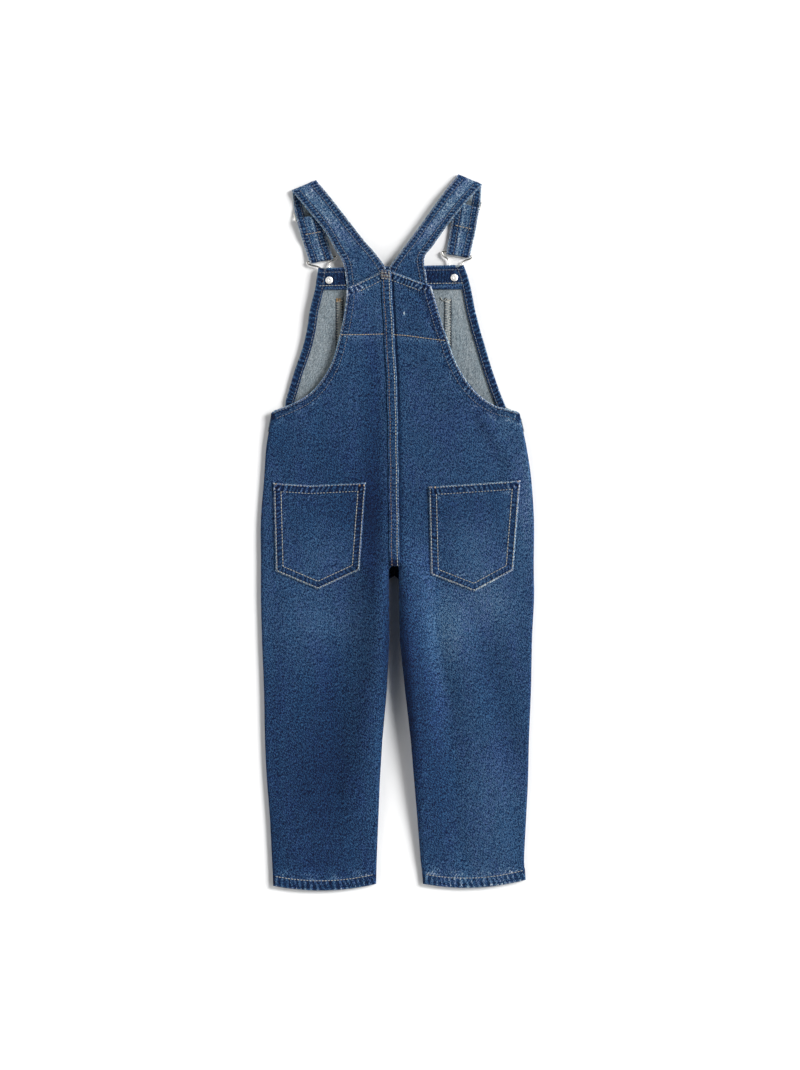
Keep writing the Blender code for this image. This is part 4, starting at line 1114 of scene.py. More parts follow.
def front_panels():
    """The hidden front: plain denim that rests flat, with its own hem at the leg's end."""
    for side in SIDES:
        grid = panel_grid(side, FRONT_CROTCH_Y, HIDDEN_STEP, HIDDEN_COLUMNS, FRONT_TURN)
        last = sum(row.outer_y <= WAIST_Y + 0.01 for row in grid.rows)
        x, y, full, seam = (values[:last] for values in (grid.x, grid.y, grid.fullness, grid.seam))
        z = mix(SEAM_HEIGHT + seam, np.clip(line_height(x, y, FOLDS), 0.0, None), full)
        away, along = nearest(stack(x[0], y[0])[::EDGE_THIN], x, y)
        fade = FADE["front"] + CLOUDS * drift(x, y, CLOUD_PITCH, 5.0) + band_look(away, along, LEG_BAND)[1]
        points = stack(x, y, z)
        skin = Skin(points, stack(-x, y), fade)
        # Both faces take the dark right side, so the wrong side seen in the gap below the crotch is painted shade.
        piece = shell(f"front_panel_{side}", skin, f"front_{side}", up=False, cloths=FACE_BOTH)
        declare(points)


# The felled strip over the centre seam
FELL_LEFT_HEIGHT, FELL_RIGHT_HEIGHT = 0.75, 1.25  # over the back, at its soft edge and at its folded one
FELL_DENT, FELL_ROW_SHADE, FELL_ROW_WIDTH = 0.28, 0.05, 1.3
FELL_WEAR, FELL_WEAR_PITCH = 0.46, 2.9  # the folded edge is rubbed in short dashes
# Painted shadow: the strip's lower end darkens to black where the crotch lies in deep shade.
CROTCH_SHADE = 0.40
FELL_TACKS, FELL_TACK_START_Y, FELL_TACK_STEP, FELL_TACK_SLANT = 9, 290.5, 1.15, 0.12


def fell_x(y):
    """Middle of the strip, which wanders a little on the seam."""
    return seam_x(y) + 0.25 * np.sin(y / 9.0)


def centre_seam(back):
    """The felled strip over the join of the halves: a crisp folded edge on its right, a soft one on its left."""
    ys = np.arange(CROTCH_Y - 6.0, SEAM_TOP_Y, STRIP_STEP)
    share, y = np.meshgrid(np.linspace(0.0, 1.0, FELL_COLUMNS), ys)
    x = fell_x(y) + SEAM_FELL * (share - 0.5)
    height, _ = back.look("left", x, y)
    ripple = pucker(y, x, FELL_BAND)
    from_right = SEAM_FELL * (1.0 - share)
    between = smoothstep(4.2, 2.4, np.abs(from_right - sum(FELL_ROWS) / 2))
    relief = mix(FELL_LEFT_HEIGHT, FELL_RIGHT_HEIGHT, share) + rounded_edge(from_right, *FOLDED_EDGE)
    relief += 0.22 * ripple * between
    light, dark = smoothstep(0.1, 0.7, ripple), smoothstep(0.1, -0.4, ripple)
    fade = FADE["strip"] + between * (0.09 * light - 0.15 * dark)
    fade -= CROTCH_SHADE * smoothstep(CROTCH_Y + 8.0, CROTCH_Y - 4.0, y)
    rubbed_left = smoothstep(-0.2, 0.6, pucker(y, np.zeros_like(y), FELL_BAND._replace(pitch=3.9)))
    fade += 0.14 * smoothstep(9.6, 11.2, from_right) * rubbed_left
    for row in FELL_ROWS:
        relief -= FELL_DENT * hump(from_right - row, FELL_ROW_WIDTH)
        fade -= FELL_ROW_SHADE * hump(from_right - row, FELL_ROW_WIDTH)
    fade += FELL_WEAR * smoothstep(1.5, 0.6, from_right) * (0.55 + 0.45 * np.sin(math.tau * y / FELL_WEAR_PITCH))
    points = stack(x, y, height + GAP + relief)
    piece = shell("centre_back_fell", Skin(points, stack(x, y), fade), "centre_back_seam", thickness=FELL_SHELL)
    thread = stitches("centre_back_stitches", fell_rows(back, ys))
    declare(points)


def fell_rows(back, ys):
    """The strip's two rows of stitches, and the close rows across its upper end."""
    rows = []
    for thread, row in zip((TAN, RUST), FELL_ROWS):
        x = fell_x(ys) + SEAM_FELL / 2 - row
        z, _ = back.look("left", x, ys)
        lift = GAP + mix(FELL_RIGHT_HEIGHT, FELL_LEFT_HEIGHT, row / SEAM_FELL) - 0.1
        rows.append((thread, stack(x, ys, z + lift), STITCH_PITCH))
    for k in range(FELL_TACKS):
        level = FELL_TACK_START_Y + FELL_TACK_STEP * k
        from_seam = np.linspace(-6.0, 5.6, 12)
        x, y = seam_x(level) + from_seam, level - FELL_TACK_SLANT * from_seam
        z, _ = back.look("left", x, y)
        rows.append(((TAN, DUSKY, RUST)[k % 3], stack(x, y, z + GAP + FELL_RIGHT_HEIGHT + 0.1), CLOSE_PITCH))
    return rows


def back_stitches(back):
    for side, out in OUTWARD.items():
        hem = back.hem[side][::EDGE_THIN]
        rows = [back.sewn(side, DUSKY, offset_line(back.armhole[side], out * d)) for d in ARMHOLE_BAND.rows]
        rows += [back.sewn(side, TAN, offset_line(back.top[side], out * d)[3:-2]) for d in TOP_EDGE_BAND.rows]
        rows += [back.sewn(side, TAN, offset_line(hem, -out * d)[1:-1]) for d in LEG_BAND.rows]
        rows.append(back.sewn(side, STRAW, SHOULDER_YOKE[YOKE_SPANS[side]], pitch=CLOSE_PITCH))
        stitches(f"back_stitches_{side}", rows)


# Seat pockets
POCKET_SHARES = (0.13, 0.145)  # columns and rows crowd up to the first share, the others begin at the second
POCKET_COLUMNS = (13, 46, 0.855)  # over a hem, between the hems, and the share where those end
POCKET_ROWS = (15, 52, 0.86)
POCKET_PUFF = 0.9
TACK_IN, TACK_LENGTH, TACK_DROPS = 1.0, 8.6, (0.9, 2.1, 3.3)  # bartacks at the upper corners


def crowded(edge_count, middle_count, last_share):
    """Shares of a pocket's width or height, close together over both hems."""
    near, middle = POCKET_SHARES
    return np.concatenate((
        np.linspace(0.0, near, edge_count),
        np.linspace(middle, last_share, middle_count),
        np.linspace(1.0 - near, 1.0, edge_count),
    ))


def pocket_outline(shape):
    """Corners counter-clockwise, from the inner foot or the outer one."""
    corners = [shape.foot_outer, shape.foot_middle, shape.foot_inner]
    corners += [shape.top_inner, shape.top_middle, shape.top_outer]
    spokes = np.array(corners) - np.mean(corners, axis=0)
    turn = sum(turn_between(a, b) for a, b in zip(spokes, spokes[1:]))
    return corners if turn > 0 else corners[::-1]


def back_pocket(side, back):
    """A pointed patch pocket on the seat, edgestitched twice round and hemmed along its top."""
    shape = BACK_POCKETS[side]
    share, rise = np.meshgrid(crowded(*POCKET_COLUMNS), crowded(*POCKET_ROWS))
    half, rest = np.clip(share * 2, 0.0, 1.0), np.clip(share * 2 - 1, 0.0, 1.0)

    def along_edge(first, middle, last):
        return [mix(mix(first[k], middle[k], half), last[k], rest) for k in (0, 1)]

    foot = along_edge(shape.foot_outer, shape.foot_middle, shape.foot_inner)
    top = along_edge(shape.top_outer, shape.top_middle, shape.top_inner)
    x, y = mix(foot[0], top[0], rise), mix(foot[1], top[1], rise)
    height, fade = back.look(side, x, y)
    sides = [shape.top_outer, shape.foot_outer, shape.foot_middle, shape.foot_inner, shape.top_inner]
    mouth = [shape.top_outer, shape.top_middle, shape.top_inner]
    edge = np.full(x.shape, np.inf)
    relief = GAP + DENIM
    outline = pocket_outline(shape)
    rows = []
    for line, band in ((sides, POCKET_SIDE_BAND), (mouth, POCKET_TOP_BAND)):
        away, along = nearest(line, x, y)
        band_relief, band_fade = band_look(away, along, band)
        relief = relief + band_relief
        fade = fade + band_fade
        edge = np.minimum(edge, away)
        order = [outline.index(corner) for corner in line]
        for distance in band.rows:
            seam = inset_outline(outline, distance)[order]
            rows.append(back.sewn(side, TAN, seam, GAP + DENIM + POCKET_SINK))
    relief = relief + rounded_edge(edge, *FOLDED_EDGE) + POCKET_PUFF * smoothstep(6.0, 40.0, edge)
    points = stack(x, y, height + relief)
    skin = Skin(points, stack(x, y), fade + FADE["pocket"] - FADE["back"])
    piece = shell(f"seat_pocket_{side}", skin, f"back_pocket_{side}")
    for corner in (shape.top_outer, shape.top_inner):
        run = np.subtract(shape.top_middle, corner) / math.dist(shape.top_middle, corner)
        for drop in TACK_DROPS:
            start = corner + run * TACK_IN - np.array((0.0, drop))
            tack = [start, start + run * TACK_LENGTH]
            rows.append(back.sewn(side, GOLD, tack, GAP + DENIM + POCKET_SINK, TACK_PITCH))
    thread = stitches(f"seat_pocket_stitches_{side}", rows)
    declare(points)


# Bib
LOOP_FADE, NEEDLE_SHADE = 0.16, 0.55  # what the overlock's pale loops do to the cloth under them, and the painted shade along its dark outer rows
BIB_TACK_DROPS = np.arange(0.0, 4.0, 0.7)  # bartack at the pocket's upper corner
BIB_TACK_ENDS = (-0.6, 5.6)


def bib_grid():
    xs, ys, full = [], [], []
    for row in closer_rows(BIB_ROWS, BIB_STEP):
        turned = 1.0 - smoothstep(TURN_ENDS_Y, BIB_TURN_ENDS_Y, row.left_y)
        zone = mix(BIB_HEM, SEAM_TURN, turned)
        start = np.array((row.left_x, row.left_y))
        across = np.array((row.right_x, row.right_y)) - start
        width = math.hypot(*across)
        distance = spread_columns(width, zone, zone, BIB_COLUMNS)
        xs.append(start[0] + across[0] / width * distance)
        ys.append(start[1] + across[1] / width * distance)
        full.append(row_fullness(turned, turned, BIB_COLUMNS))
    return np.array(xs), np.array(ys), np.array(full)


def bib():
    """The bib lies outside down, so its pale wrong side, its hems and its facing show."""
    x, y, full = bib_grid()
    level = bib_level(y) + 0.18 * drift(x, y, 13.0, 4.0)
    points = stack(x, y, mix(SEAM_HEIGHT, level, full) + DENIM * full)
    left, right, top, foot = BIB_POCKET
    away, _ = nearest([(left, top), (left, foot), (right, foot), (right, top)], x, y)
    fade = FADE["inside"] + 0.05 * drift(x, y, 22.0, 6.0) + 0.07 * hump(away - 3.0, 4.0) - 0.06 * hump(away, 1.5)
    sewn = smoothstep(foot - 2.0, foot, y) * smoothstep(top + 3.0, top, y)
    for start in OVERLOCK_STARTS:
        # Painted shade along the overlock's two outer rows.
        needles = hump(x - start, 1.7) + hump(x - start - OVERLOCK, 1.7)
        fade += sewn * (LOOP_FADE * hump(x - start - OVERLOCK / 2, 0.45 * OVERLOCK) - NEEDLE_SHADE * needles)
    piece = shell("bib_panel", Skin(points, stack(x, y), fade), "bib", cloths=INSIDE_OUT)
    parts = [bib_hem(side) for side in SIDES] + [bib_facing(), bib_stitches()]
    declare(points)
    bib_pocket()


def bib_edge(side, start_y):
    """Plan points of the bib's side edge, upwards."""
    if side == "left":
        edge = [(row.left_x, row.left_y) for row in closer_rows(BIB_ROWS, STRIP_STEP)]
    else:
        edge = dense([(row.right_x, row.right_y) for row in BIB_ROWS], STRIP_STEP)
    return np.array([point for point in edge if point[1] >= start_y - 0.01])


def bib_hem(side):
    """The turned strip along a side edge, made of lines offset from it."""
    line = dense(bib_edge(side, BIB_HEM_START_Y), STRIP_STEP)
    distances = BIB_HEM * np.linspace(0.0, 1.0, STRIP_COLUMNS)
    plan = np.stack([offset_line(line, OUTWARD[side] * distance) for distance in distances], axis=1)
    away, along = np.meshgrid(distances, marks_along(line))
    relief, fade = band_look(away, along, BIB_SIDE_BAND)
    x, y = plan[..., 0], plan[..., 1]
    points = stack(x, y, hem_level(y) + relief + rounded_edge(away, *BIB_EDGE))
    skin = Skin(points, stack(away, along), FADE["hem"] + fade)
    return shell(f"bib_side_hem_{side}", skin, f"bib_hem_{side}", cloths=FACE_BOTH, thickness=THIN_SHELL)


def bib_facing():
    """The strip that finishes the bib's top edge on the inside."""
    ends = []
    for side in SIDES:
        edge = bib_edge(side, BIB_FACING_START_Y)
        even = at_marks(np.linspace(0, 1, FACING_ROWS), np.linspace(0, 1, len(edge)), edge)
        ends.append(even - (OUTWARD[side] * (BIB_HEM + GAP), 0.0))
    start, end = ends
    share = np.linspace(0.0, 1.0, FACING_COLUMNS)
    x, y = (mix(start[:, k : k + 1], end[:, k : k + 1], share[None, :]) for k in (0, 1))
    away, along = nearest(stack(x[-1], y[-1])[::EDGE_THIN], x, y)
    relief, fade = band_look(away, along, FACING_BAND)
    ripple = pucker(along, away, FACING_BAND._replace(pitch=3.1, seed=2.2))
    fade = FADE["hem"] + fade + 0.16 * smoothstep(6.0, 4.0, away) * ripple
    fade += 0.22 * hump(away - 24.2, 2.8) - 0.08 * hump(away - 13.0, 8.0)
    points = stack(x, y, hem_level(y) + 0.5 * relief + rounded_edge(away, *BIB_EDGE))
    skin = Skin(points, stack(x, y), fade)
    return shell("bib_top_facing", skin, "bib_facing", cloths=FACE_BOTH, thickness=THIN_SHELL)


def bib_stitches():
    rows = []

    def sew(thread, line, base, lift, pitch=STITCH_PITCH):
        line = dense(line)
        rows.append((thread, np.column_stack((line, base(line[:, 1]) + lift)), pitch))

    def loose(thread, line, lift):
        rows.append((thread, [(x, y, float(bib_top(y)) + lift) for x, y in line], 0))

    for side, out in OUTWARD.items():
        for distance in BIB_SIDE_BAND.rows:
            sew(DUSKY, offset_line(bib_edge(side, BIB_HEM_START_Y), out * distance), hem_level, HEM_SINK)
    left, right = (bib_edge(side, BIB_FACING_START_Y)[-1] for side in SIDES)
    for thread, away in zip((DUSKY, TAN), FACING_BAND.rows):
        sew(thread, [left + (0.5, -away), right - (0.5, away)], hem_level, HEM_SINK)
    top, foot = BIB_POCKET.top, BIB_POCKET.foot
    for start in OVERLOCK_STARTS:
        for x in (start, start + OVERLOCK):
            sew(NAVY, [(x, top), (x, foot)], bib_top, OVERLOCK_SINK, TACK_PITCH)
        reach = [OVERLOCK * (0.5 + 0.45 * swing) for swing in (1, -1)]
        count = int((top - foot) / OVERLOCK_PITCH)
        loose(CREAM, [(start + reach[k % 2], top - 2.0 - OVERLOCK_PITCH * k) for k in range(count)], 0.3)
    for drop in BIB_TACK_DROPS:
        tack = [(OVERLOCK_STARTS[0] + end, top - drop) for end in BIB_TACK_ENDS]
        sew(GOLD, tack, bib_top, 0.35, DENSE_PITCH)
    loose(TAN, THREAD_END, 0.5)
    return stitches("bib_stitches", rows)


def bib_pocket():
    """The patch pocket on the bib's outside, under the garment."""
    share = np.linspace(0.0, 1.0, 40)
    x, y = np.meshgrid(mix(BIB_POCKET.left, BIB_POCKET.right, share), mix(BIB_POCKET.foot, BIB_POCKET.top, share))
    away = np.minimum(np.minimum(x - BIB_POCKET.left, BIB_POCKET.right - x), y - BIB_POCKET.foot)
    _, fade = band_look(away, x + y, POCKET_SIDE_BAND)
    points = stack(x, y, bib_level(y) - GAP - DENIM)
    piece = shell("bib_patch_pocket", Skin(points, stack(-x, y), FADE["pocket"] + fade), "bib_pocket", up=False)
    declare(points)


# Straps
STRAP_HEM = np.array((0.0, 0.25, 0.7, 1.3, 2.0, 2.8, 3.8, 5.0, 6.2, 7.2, 8.0, 8.8, 9.8))  # columns over its hem
STRAP_MIDDLE_COLUMNS = 7
CLOSEST_ROWS = 0.25
EDGE_ROUNDING = 0.7
SAMPLE_ROW, SAMPLE_COLUMN = 2, 5  # a place of every strap that looks up
FACES_UP = 0.6  # least z of the normal where a strap lies with its outer face up
PAST_FOLD = 5.0  # the tail is looked for from here
HANGING_START, HANGING_END = 8.0, 12.0  # the front's hidden stitches keep this far from the fold and the buckle
SECOND_SEED = 9.1  # keeps the inner edge's puckers from repeating the outer edge's
FACE_SHIFTS = {"outer": 9.0, "inner": 31.0}
MIDDLE_WEAR = {"right": 0.22, "left": 0.17}  # how much paler a strap is between its hems
YOKE_END_SHADE = {"right": 0.06, "left": 0.0}  # the sewn end that kept its indigo
RIDGE_WEAR, RIDGE_HALF_WIDTH = 0.16, 1.7  # the pale line along the inside of each hem
TAIL_WEAR = 0.7
TAIL_STREAKS = ((0.58, 2.0, 0.14), (0.70, 1.4, -0.30))  # along the tail: share of the width, half width, fading; the dark one is painted shade in a groove
TACK_SPAN = (0.16, 0.84)


def middle_of(edge):
    return (edge.outer_x + edge.inner_x) / 2, (edge.outer_y + edge.inner_y) / 2


def front_spans(side):
    """Stretches of the strap's front, from the lower end, with their lengths."""
    table = STRAP_FRONT[side]
    return [(low, high, math.dist(middle_of(low), middle_of(high))) for low, high in zip(table, table[1:])]


def strap_ruling(side, distance, z):
    """The strap's two edge points at a distance from its lower end."""
    spans = front_spans(side)
    passed = 0.0
    for low, high, span in spans:
        if distance <= passed + span or high is spans[-1][1]:
            x0, y0, x1, y1 = (mix(low[j], high[j], (distance - passed) / span) for j in range(4))
            return np.array(((x0, y0, z), (x1, y1, z)))
        passed += span


def half_turn(centre, centre_z, radius, towards, up):
    """Distances and heights round a bar, between the lowest and the highest point."""
    turn = []
    for k in range(1, LOOP_STEPS):
        angle = math.pi * k / LOOP_STEPS
        rise = -math.cos(angle) if up else math.cos(angle)
        turn.append((centre + towards * radius * math.sin(angle), centre_z + radius * rise))
    return turn


def yoke_to_fold(side):
    """Edge pairs of the strap's back stretch, and of its turn at the shoulder."""
    rulings = STRAP_UPPER[side]
    path = []
    for i, (low, high) in enumerate(zip(rulings, rulings[1:])):
        before, after = neighbours(rulings, i)
        for k in range(RULING_STEPS):
            r = [through(a, b, c, d, k / RULING_STEPS) for a, b, c, d in zip(before, low, high, after)]
            path.append(np.array(((r[0], r[1], r[4]), (r[2], r[3], r[4]))))
    last = rulings[-1]
    crest = np.array(((last.outer_x, last.outer_y, last.z), (last.inner_x, last.inner_y, last.z)))
    path.append(crest)
    crease = crest[1] - crest[0]
    away = np.array((-crease[1], crease[0], 0.0)) / np.linalg.norm(crease)
    if away[1] < 0:
        away = -away
    for k in range(1, FOLD_STEPS):
        angle = math.pi * k / FOLD_STEPS
        turned = crest + away * FOLD_RADIUS * math.sin(angle)
        turned[:, 2] = last.z - FOLD_RADIUS + FOLD_RADIUS * math.cos(angle)
        path.append(turned)
    return path


def strap_path(side):
    """Edge pairs of the strap's middle surface from its sewn base to the end that wraps the slider."""
    low = STRAP_PLY / 2
    bar = SLIDER_PLACE[side]
    bridge = bar + SLIDER_BARS
    over_bar = 2 * SLIDER_WIRE_RADIUS + GAP + low
    loop = WIRE_RADIUS + GAP + low
    loop_at = loop + low
    loop_z = low + loop
    wrap = SLIDER_WIRE_RADIUS + GAP + low
    tail_z = STRAP_PLY + GAP + low
    over_tail = tail_z + STRAP_PLY + GAP
    wrap_z = tail_z + wrap
    down = [
        (sum(span for _, _, span in front_spans(side)), low),
        (bridge + BRIDGE_RUN, low),
        (bridge + BRIDGE_CREST, over_bar - GAP),
        (bridge, over_bar),
        (bridge - BRIDGE_CREST, over_bar - GAP),
        (bridge - BRIDGE_RUN, low),
        (loop_at + 2 * BRIDGE_RUN, low),
        (loop_at, low),
        *half_turn(loop_at, loop_z, loop, -1, up=True),
        (loop_at, loop_z + loop),
        (loop_at + BRIDGE_RUN, mix(loop_z + loop, tail_z, 0.6)),
        (loop_at + 2 * BRIDGE_RUN, tail_z),
        (bar - TAIL - BRIDGE_RUN, tail_z),
        (bar - TAIL - GAP, over_tail),
        (bar - TAIL / 2, over_tail + 2 * GAP),
        (bar, wrap_z + wrap),
        *half_turn(bar, wrap_z, wrap, 1, up=False),
        (bar, tail_z),
        (bar - TAIL / 2, tail_z),
        (bar - TAIL, tail_z),
    ]
    return yoke_to_fold(side) + [strap_ruling(side, distance, z) for distance, z in down]


class Strap:
    """A hemmed strip, double along both edges: the grid of its middle surface, and the look of its two faces."""

    def __init__(self, side):
        self.side = side
        path = np.array(strap_path(side))
        marks = marks_along(path.mean(axis=1))
        places = np.unique(np.concatenate((marks, np.arange(0.0, marks[-1], STRIP_STEP))))
        self.places = places[np.concatenate(([True], np.diff(places) > CLOSEST_ROWS))]
        self.outer, self.inner = (at_marks(self.places, marks, path[:, edge]) for edge in (0, 1))
        self.width = np.linalg.norm(self.inner - self.outer, axis=1)[:, None]
        middle = np.linspace(0.0, 1.0, STRAP_MIDDLE_COLUMNS + 2)[1:-1]
        middle = mix(STRAP_HEM[-1], self.width - STRAP_HEM[-1], middle)
        hems = np.broadcast_to(STRAP_HEM, (len(self.width), len(STRAP_HEM)))
        self.across = np.concatenate((hems, middle, self.width - STRAP_HEM[::-1]), axis=1)
        self.along = np.repeat(self.places[:, None], self.across.shape[1], axis=1)
        self.centre = mix(self.outer[:, None], self.inner[:, None], (self.across / self.width)[..., None])
        normal = np.cross(np.gradient(self.centre, axis=0), np.gradient(self.centre, axis=1))
        normal /= np.linalg.norm(normal, axis=2)[..., None]
        self.normal = -normal if normal[SAMPLE_ROW, SAMPLE_COLUMN, 2] < 0 else normal
        self.up = self.normal[:, SAMPLE_COLUMN]
        self.fold = marks[RULING_STEPS * (len(STRAP_UPPER[side]) - 1)]
        self.tail = (self.up[:, 2] > FACES_UP) & (self.places > self.fold + PAST_FOLD)

    def face(self, face):
        """The skin of the outer face (1) or of the one that the fold hides (-1)."""
        from_inner = self.width - self.across
        edge = np.minimum(self.across, from_inner)
        outer = band_look(self.across, self.along + FACE_SHIFTS["outer"] * face, STRAP_BAND)
        inner = band_look(from_inner, self.along + FACE_SHIFTS["inner"], STRAP_BAND._replace(seed=SECOND_SEED))
        relief, fade = (np.where(self.across < from_inner, a, b) for a, b in zip(outer, inner))
        fade = FADE["strap"] + fade
        fade = self.worn(fade, edge) if face > 0 else np.where(edge > STRAP_BAND.width, STRAP_BACK_FADE, fade - 0.04)
        round_edge = np.sqrt(1.0 - (1.0 - np.clip(edge / EDGE_ROUNDING, 0.0, 1.0)) ** 2)
        height = (STRAP_PLY / 2 + np.clip(relief - STRAP_BAND.raised, -0.45, 0.5)) * round_edge
        return Skin(self.centre + self.normal * (face * height)[..., None], stack(self.across, self.along), fade)

    def worn(self, fade, edge):
        """Fading of the outer face: pale between the hems, above all along them and on the tail."""
        wave = 0.5 + 0.5 * drift(self.along, self.across, 6.0, 5.0 if self.side == "left" else 3.0)
        ridge = hump(edge - STRAP_BAND.width - 1.4, RIDGE_HALF_WIDTH)
        between = smoothstep(STRAP_BAND.width, STRAP_BAND.width + 2.5, edge)
        on_tail = self.tail.astype(float)[:, None]
        worn = mix(smoothstep(34.0, 74.0, self.along), TAIL_WEAR, on_tail)
        fade = fade - YOKE_END_SHADE[self.side] * (1.0 - smoothstep(14.0, 50.0, self.along))
        fade = fade - 0.03 + ridge * RIDGE_WEAR * wave * worn
        fade = fade + between * (MIDDLE_WEAR[self.side] * worn - 0.03 + 0.06 * wave * worn)
        for share, half_width, amount in TAIL_STREAKS:
            fade = fade + on_tail * amount * hump(self.across - share * self.width, half_width)
        return fade

    def stitch_rows(self):
        """Both rows along each edge, on the back stretch, the tail and the hidden face of the front."""
        lift = self.up * (STRAP_PLY / 2 - 0.02)
        buckle_place = self.places[self.tail].min()
        hanging = (self.places > self.fold + HANGING_START) & (self.places < buckle_place - HANGING_END)
        rows = []
        for distance in STRAP_BAND.rows:
            for start, end in ((self.outer, self.inner), (self.inner, self.outer)):
                line = mix(start, end, distance / self.width)
                above = line + lift
                lines = (above[self.places < self.fold - 1.0][2:], above[self.tail], (line - lift)[hanging])
                rows += [(DUSKY, points, STITCH_PITCH) for points in lines]
        top_z = 3 * STRAP_PLY + 2 * GAP + 0.5
        outer, inner = strap_ruling(self.side, BARTACK, top_z)
        rows.append((STRAW, dense([mix(outer, inner, share) for share in TACK_SPAN]), STITCH_PITCH))
        return rows


def strap(side):
    form = Strap(side)
    skins = [form.face(1), form.face(-1)]
    mesh = skin_mesh(f"shoulder_strap_{side}", skins)
    rows, columns = (count - 1 for count in form.across.shape)
    bare = np.zeros((2, rows, columns), np.int32)
    bare[1, :, len(STRAP_HEM) - 1 : 1 - len(STRAP_HEM)] = 1
    mesh.polygons.foreach_set("material_index", bare.ravel())
    close_strip(mesh)
    piece = finished(f"shoulder_strap_{side}", mesh, FACE_OUT, [f"strap_{side}"])
    thread = stitches(f"strap_stitches_{side}", form.stitch_rows())
    declare(skins[0].points)


def close_strip(mesh):
    """Joins the two faces of a strip along their sides and closes its ends."""
    bm = bmesh.new()
    bm.from_mesh(mesh)
    bmesh.ops.remove_doubles(bm, verts=bm.verts, dist=WELD)
    bmesh.ops.holes_fill(bm, edges=[e for e in bm.edges if e.is_boundary], sides=0)
    bmesh.ops.recalc_face_normals(bm, faces=bm.faces)
    bm.to_mesh(mesh)
    bm.free()
    mesh.shade_smooth()


# Metal pieces


def bent(corners, cut, steps):
    """A closed route with each corner rounded off between two points at most the cut from it."""
    points = []
    for i, corner in enumerate(corners):
        before, after = corners[i - 1], corners[(i + 1) % len(corners)]
        start = corner + (before - corner) * min(0.45, cut / (before - corner).length)
        end = corner + (after - corner) * min(0.45, cut / (after - corner).length)
        for k in range(steps + 1):
            t = k / steps
            points.append(start.lerp(corner, t).lerp(corner.lerp(end, t), t))
    return points


def wire(name, points, radius, node):
    """A closed loop of round plated wire."""
    curve = round_curve(name, radius, WIRE_FACETS)
    lay(curve, points, np.ones(len(points)), closed=True)
    mesh = swept(name, curve)
    mesh.materials.clear()
    finished(name, mesh, (NICKEL,), [node])


def slider(side):
    low = STRAP_PLY / 2
    lower_z = STRAP_PLY + GAP + low + SLIDER_WIRE_RADIUS + GAP + low
    bar = SLIDER_PLACE[side]
    corners = []
    for distance, z, order in ((bar, lower_z, 1), (bar + SLIDER_BARS, SLIDER_WIRE_RADIUS, -1)):
        outer, inner = (Vector(point) for point in strap_ruling(side, distance, z))
        beyond = (outer - inner).normalized() * (2 * GAP + SLIDER_WIRE_RADIUS)
        corners += [outer + beyond, inner - beyond][::order]
    route = bent(corners, SLIDER_CORNER, SLIDER_CORNER_STEPS)
    wire(f"strap_slider_{side}", route, SLIDER_WIRE_RADIUS, f"slider_{side}")


def buckle(side):
    corners = [Vector(point) for point in BUCKLE_WIRES[side]]
    wire(f"wire_buckle_{side}", bent(corners, BEND_CUT, BEND_STEPS), WIRE_RADIUS, f"buckle_{side}")


def spun(name, profile, centre, node, metal):
    """A round piece spun from its (radius, height) profile, which starts and ends on the axis."""
    bm = bmesh.new()
    verts = [bm.verts.new((radius * MM, 0.0, height * MM)) for radius, height in profile]
    bmesh.ops.spin(
        bm,
        geom=verts + [bm.edges.new(pair) for pair in zip(verts, verts[1:])],
        cent=(0, 0, 0),
        axis=(0, 0, 1),
        angle=math.tau,
        steps=TURNED_STEPS,
        use_merge=True,
    )
    bmesh.ops.remove_doubles(bm, verts=bm.verts, dist=WELD)
    bmesh.ops.recalc_face_normals(bm, faces=bm.faces)
    bmesh.ops.translate(bm, verts=bm.verts, vec=(centre[0] * MM, centre[1] * MM, 0.0))
    mesh = mesh_from(bm, name)
    mesh.shade_smooth()
    mesh.set_sharp_from_angle(angle=math.radians(SHARP_ANGLE))
    finished(name, mesh, (metal,), [node])


def button(side):
    """A jeans button on the bib's outside, and the head of its tack on the inside."""
    level = float(bib_level(BUTTONS[side][1]))
    rim = BUTTON_RADIUS
    cap = [
        (0, 0.5), (rim * 0.5, 0.4), (rim - 2.2, 0.0), (rim - BUTTON_EDGE, 0.0), (rim - 0.3, 0.3), (rim, BUTTON_EDGE),
        (rim, BUTTON_CAP - 0.5), (rim - 0.4, BUTTON_CAP), (SHANK_RADIUS, BUTTON_CAP),
        (SHANK_RADIUS, level - GAP), (0, level - GAP),
    ]
    spun(f"jeans_button_{side}", cap, BUTTONS[side], f"button_{side}", NICKEL)
    foot = level + DENIM + TURN_IN + 2 * GAP
    head = foot + RIVET_HEIGHT
    rim = RIVET_RADIUS
    tack = [
        (0, foot), (rim, foot), (rim, foot + 0.35), (rim - 0.4, foot + 0.7), (rim - 1.2, head - 0.15),
        (1.8, head), (1.1, head - 0.05), (0.7, head - RIVET_DIMPLE), (0, head - RIVET_DIMPLE),
    ]
    spun(f"button_tack_{side}", tack, BUTTONS[side], f"rivet_{side}", FROSTED)


def dress_kept_solids():
    """The turned-in plies that stay as solids get the cloth too."""
    for name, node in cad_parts.items():
        if name.startswith(("leg_hem", "armhole_hem")):
            node.data.materials.clear()
            node.data.materials.append(DENIM_KEPT)


# Studio


def lay_floor():
    """White paper under the garment: matt, so that only the shadows show on it."""
    bm = bmesh.new()
    bmesh.ops.create_grid(bm, x_segments=1, y_segments=1, size=FLOOR_HALF)
    bmesh.ops.translate(bm, verts=bm.verts, vec=(0.0, 0.0, -FLOOR_DROP * MM))
    floor = placed("floor", mesh_from(bm, "floor"))
    paper, _, _ = new_material("white_paper", Roughness=0.9, Base_Color=(PAPER_WHITE,) * 3 + (1.0,))
    floor.data.materials.append(paper)


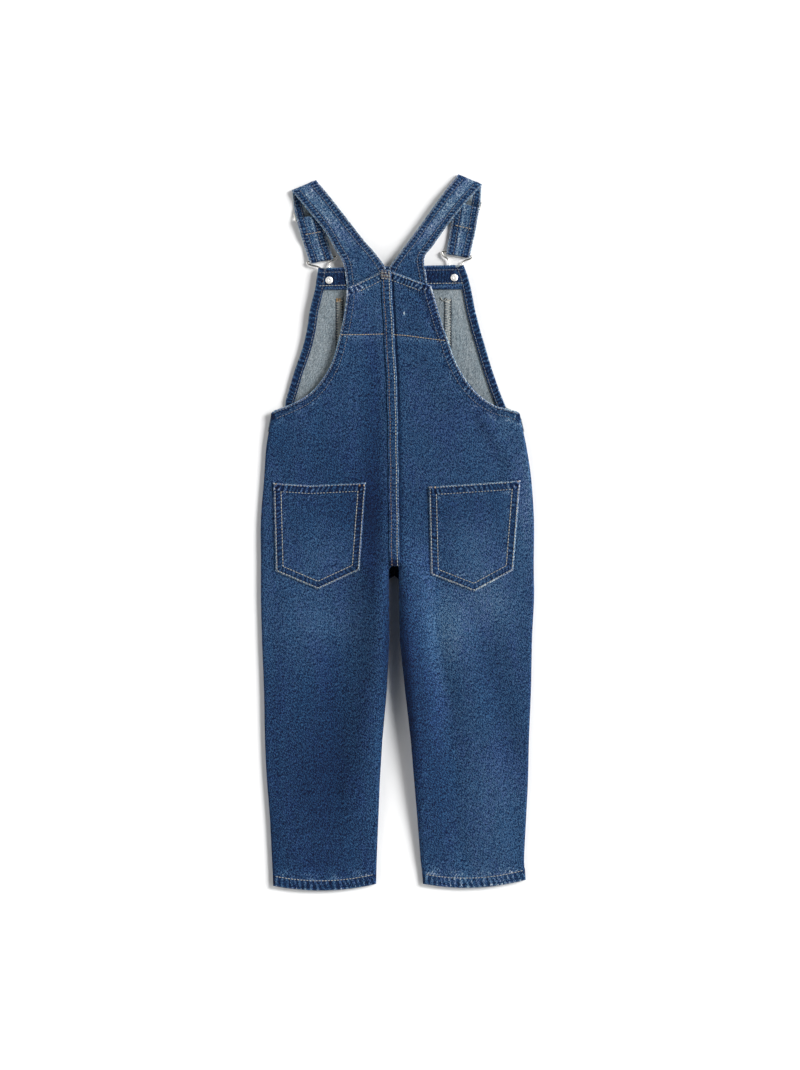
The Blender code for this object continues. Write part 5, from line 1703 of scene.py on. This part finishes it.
def surround():
    """A white room: a softbox on the left and on the right, dark above, where the camera hangs."""
    world = bpy.data.worlds.new("studio")
    bpy.context.scene.world = world
    world.use_nodes = True
    tree = world.node_tree
    sky = add(tree, "ShaderNodeSeparateXYZ", {0: add(tree, "ShaderNodeTexCoord").outputs["Generated"]})

    def ranged(value, span, low, high):
        limits = {"From Min": span[0], "From Max": span[1], "To Min": low, "To Max": high}
        return add(tree, "ShaderNodeMapRange", {"Value": value, **limits}).outputs[0]

    x = sky.outputs["X"]
    balance = ranged(x, LEFT_TO_RIGHT, LEFT_SHARE, RIGHT_SHARE)
    boxes = calculated(tree, "MULTIPLY", calculated(tree, "MULTIPLY", x, x), balance)
    boxes = calculated(tree, "ADD", boxes, END_SHARE)
    strength = ranged(sky.outputs["Z"], SIDE_TO_TOP, SIDE_STRENGTH, TOP_STRENGTH)
    background = tree.nodes["Background"]
    tree.links.new(calculated(tree, "MULTIPLY", strength, boxes), background.inputs["Strength"])
    background.inputs["Color"].default_value = (1.0, 1.0, 1.0, 1.0)


def key_light():
    sun = bpy.data.lights.new("key", "SUN")
    sun.energy = KEY_STRENGTH
    sun.angle = math.radians(KEY_SPREAD)
    azimuth, elevation = math.radians(KEY_AZIMUTH), math.radians(KEY_ELEVATION)
    level = math.cos(elevation)
    towards = Vector((math.cos(azimuth) * level, math.sin(azimuth) * level, math.sin(elevation)))
    placed("key", sun).rotation_euler = towards.to_track_quat("Z", "Y").to_euler()


def camera():
    scene = bpy.context.scene
    view = bpy.data.cameras.new("view")
    view.sensor_fit = "VERTICAL"
    view.sensor_height = SENSOR_HEIGHT
    view.lens = SENSOR_HEIGHT * CAMERA_DISTANCE / VIEW_HEIGHT
    view.clip_end = FAR_CLIP
    scene.camera = placed("view", view)
    scene.camera.location = (VIEW_X, VIEW_Y, CAMERA_DISTANCE)
    scene.view_settings.view_transform = "Standard"
    scene.view_settings.look = "None"


def build():
    back = Back()
    front_panels()
    back_panels(back)
    centre_seam(back)
    back_stitches(back)
    for side in SIDES:
        back_pocket(side, back)
        strap(side)
        slider(side)
        buckle(side)
        button(side)
    bib()
    dress_kept_solids()
    lay_floor()
    surround()
    key_light()
    camera()


build()
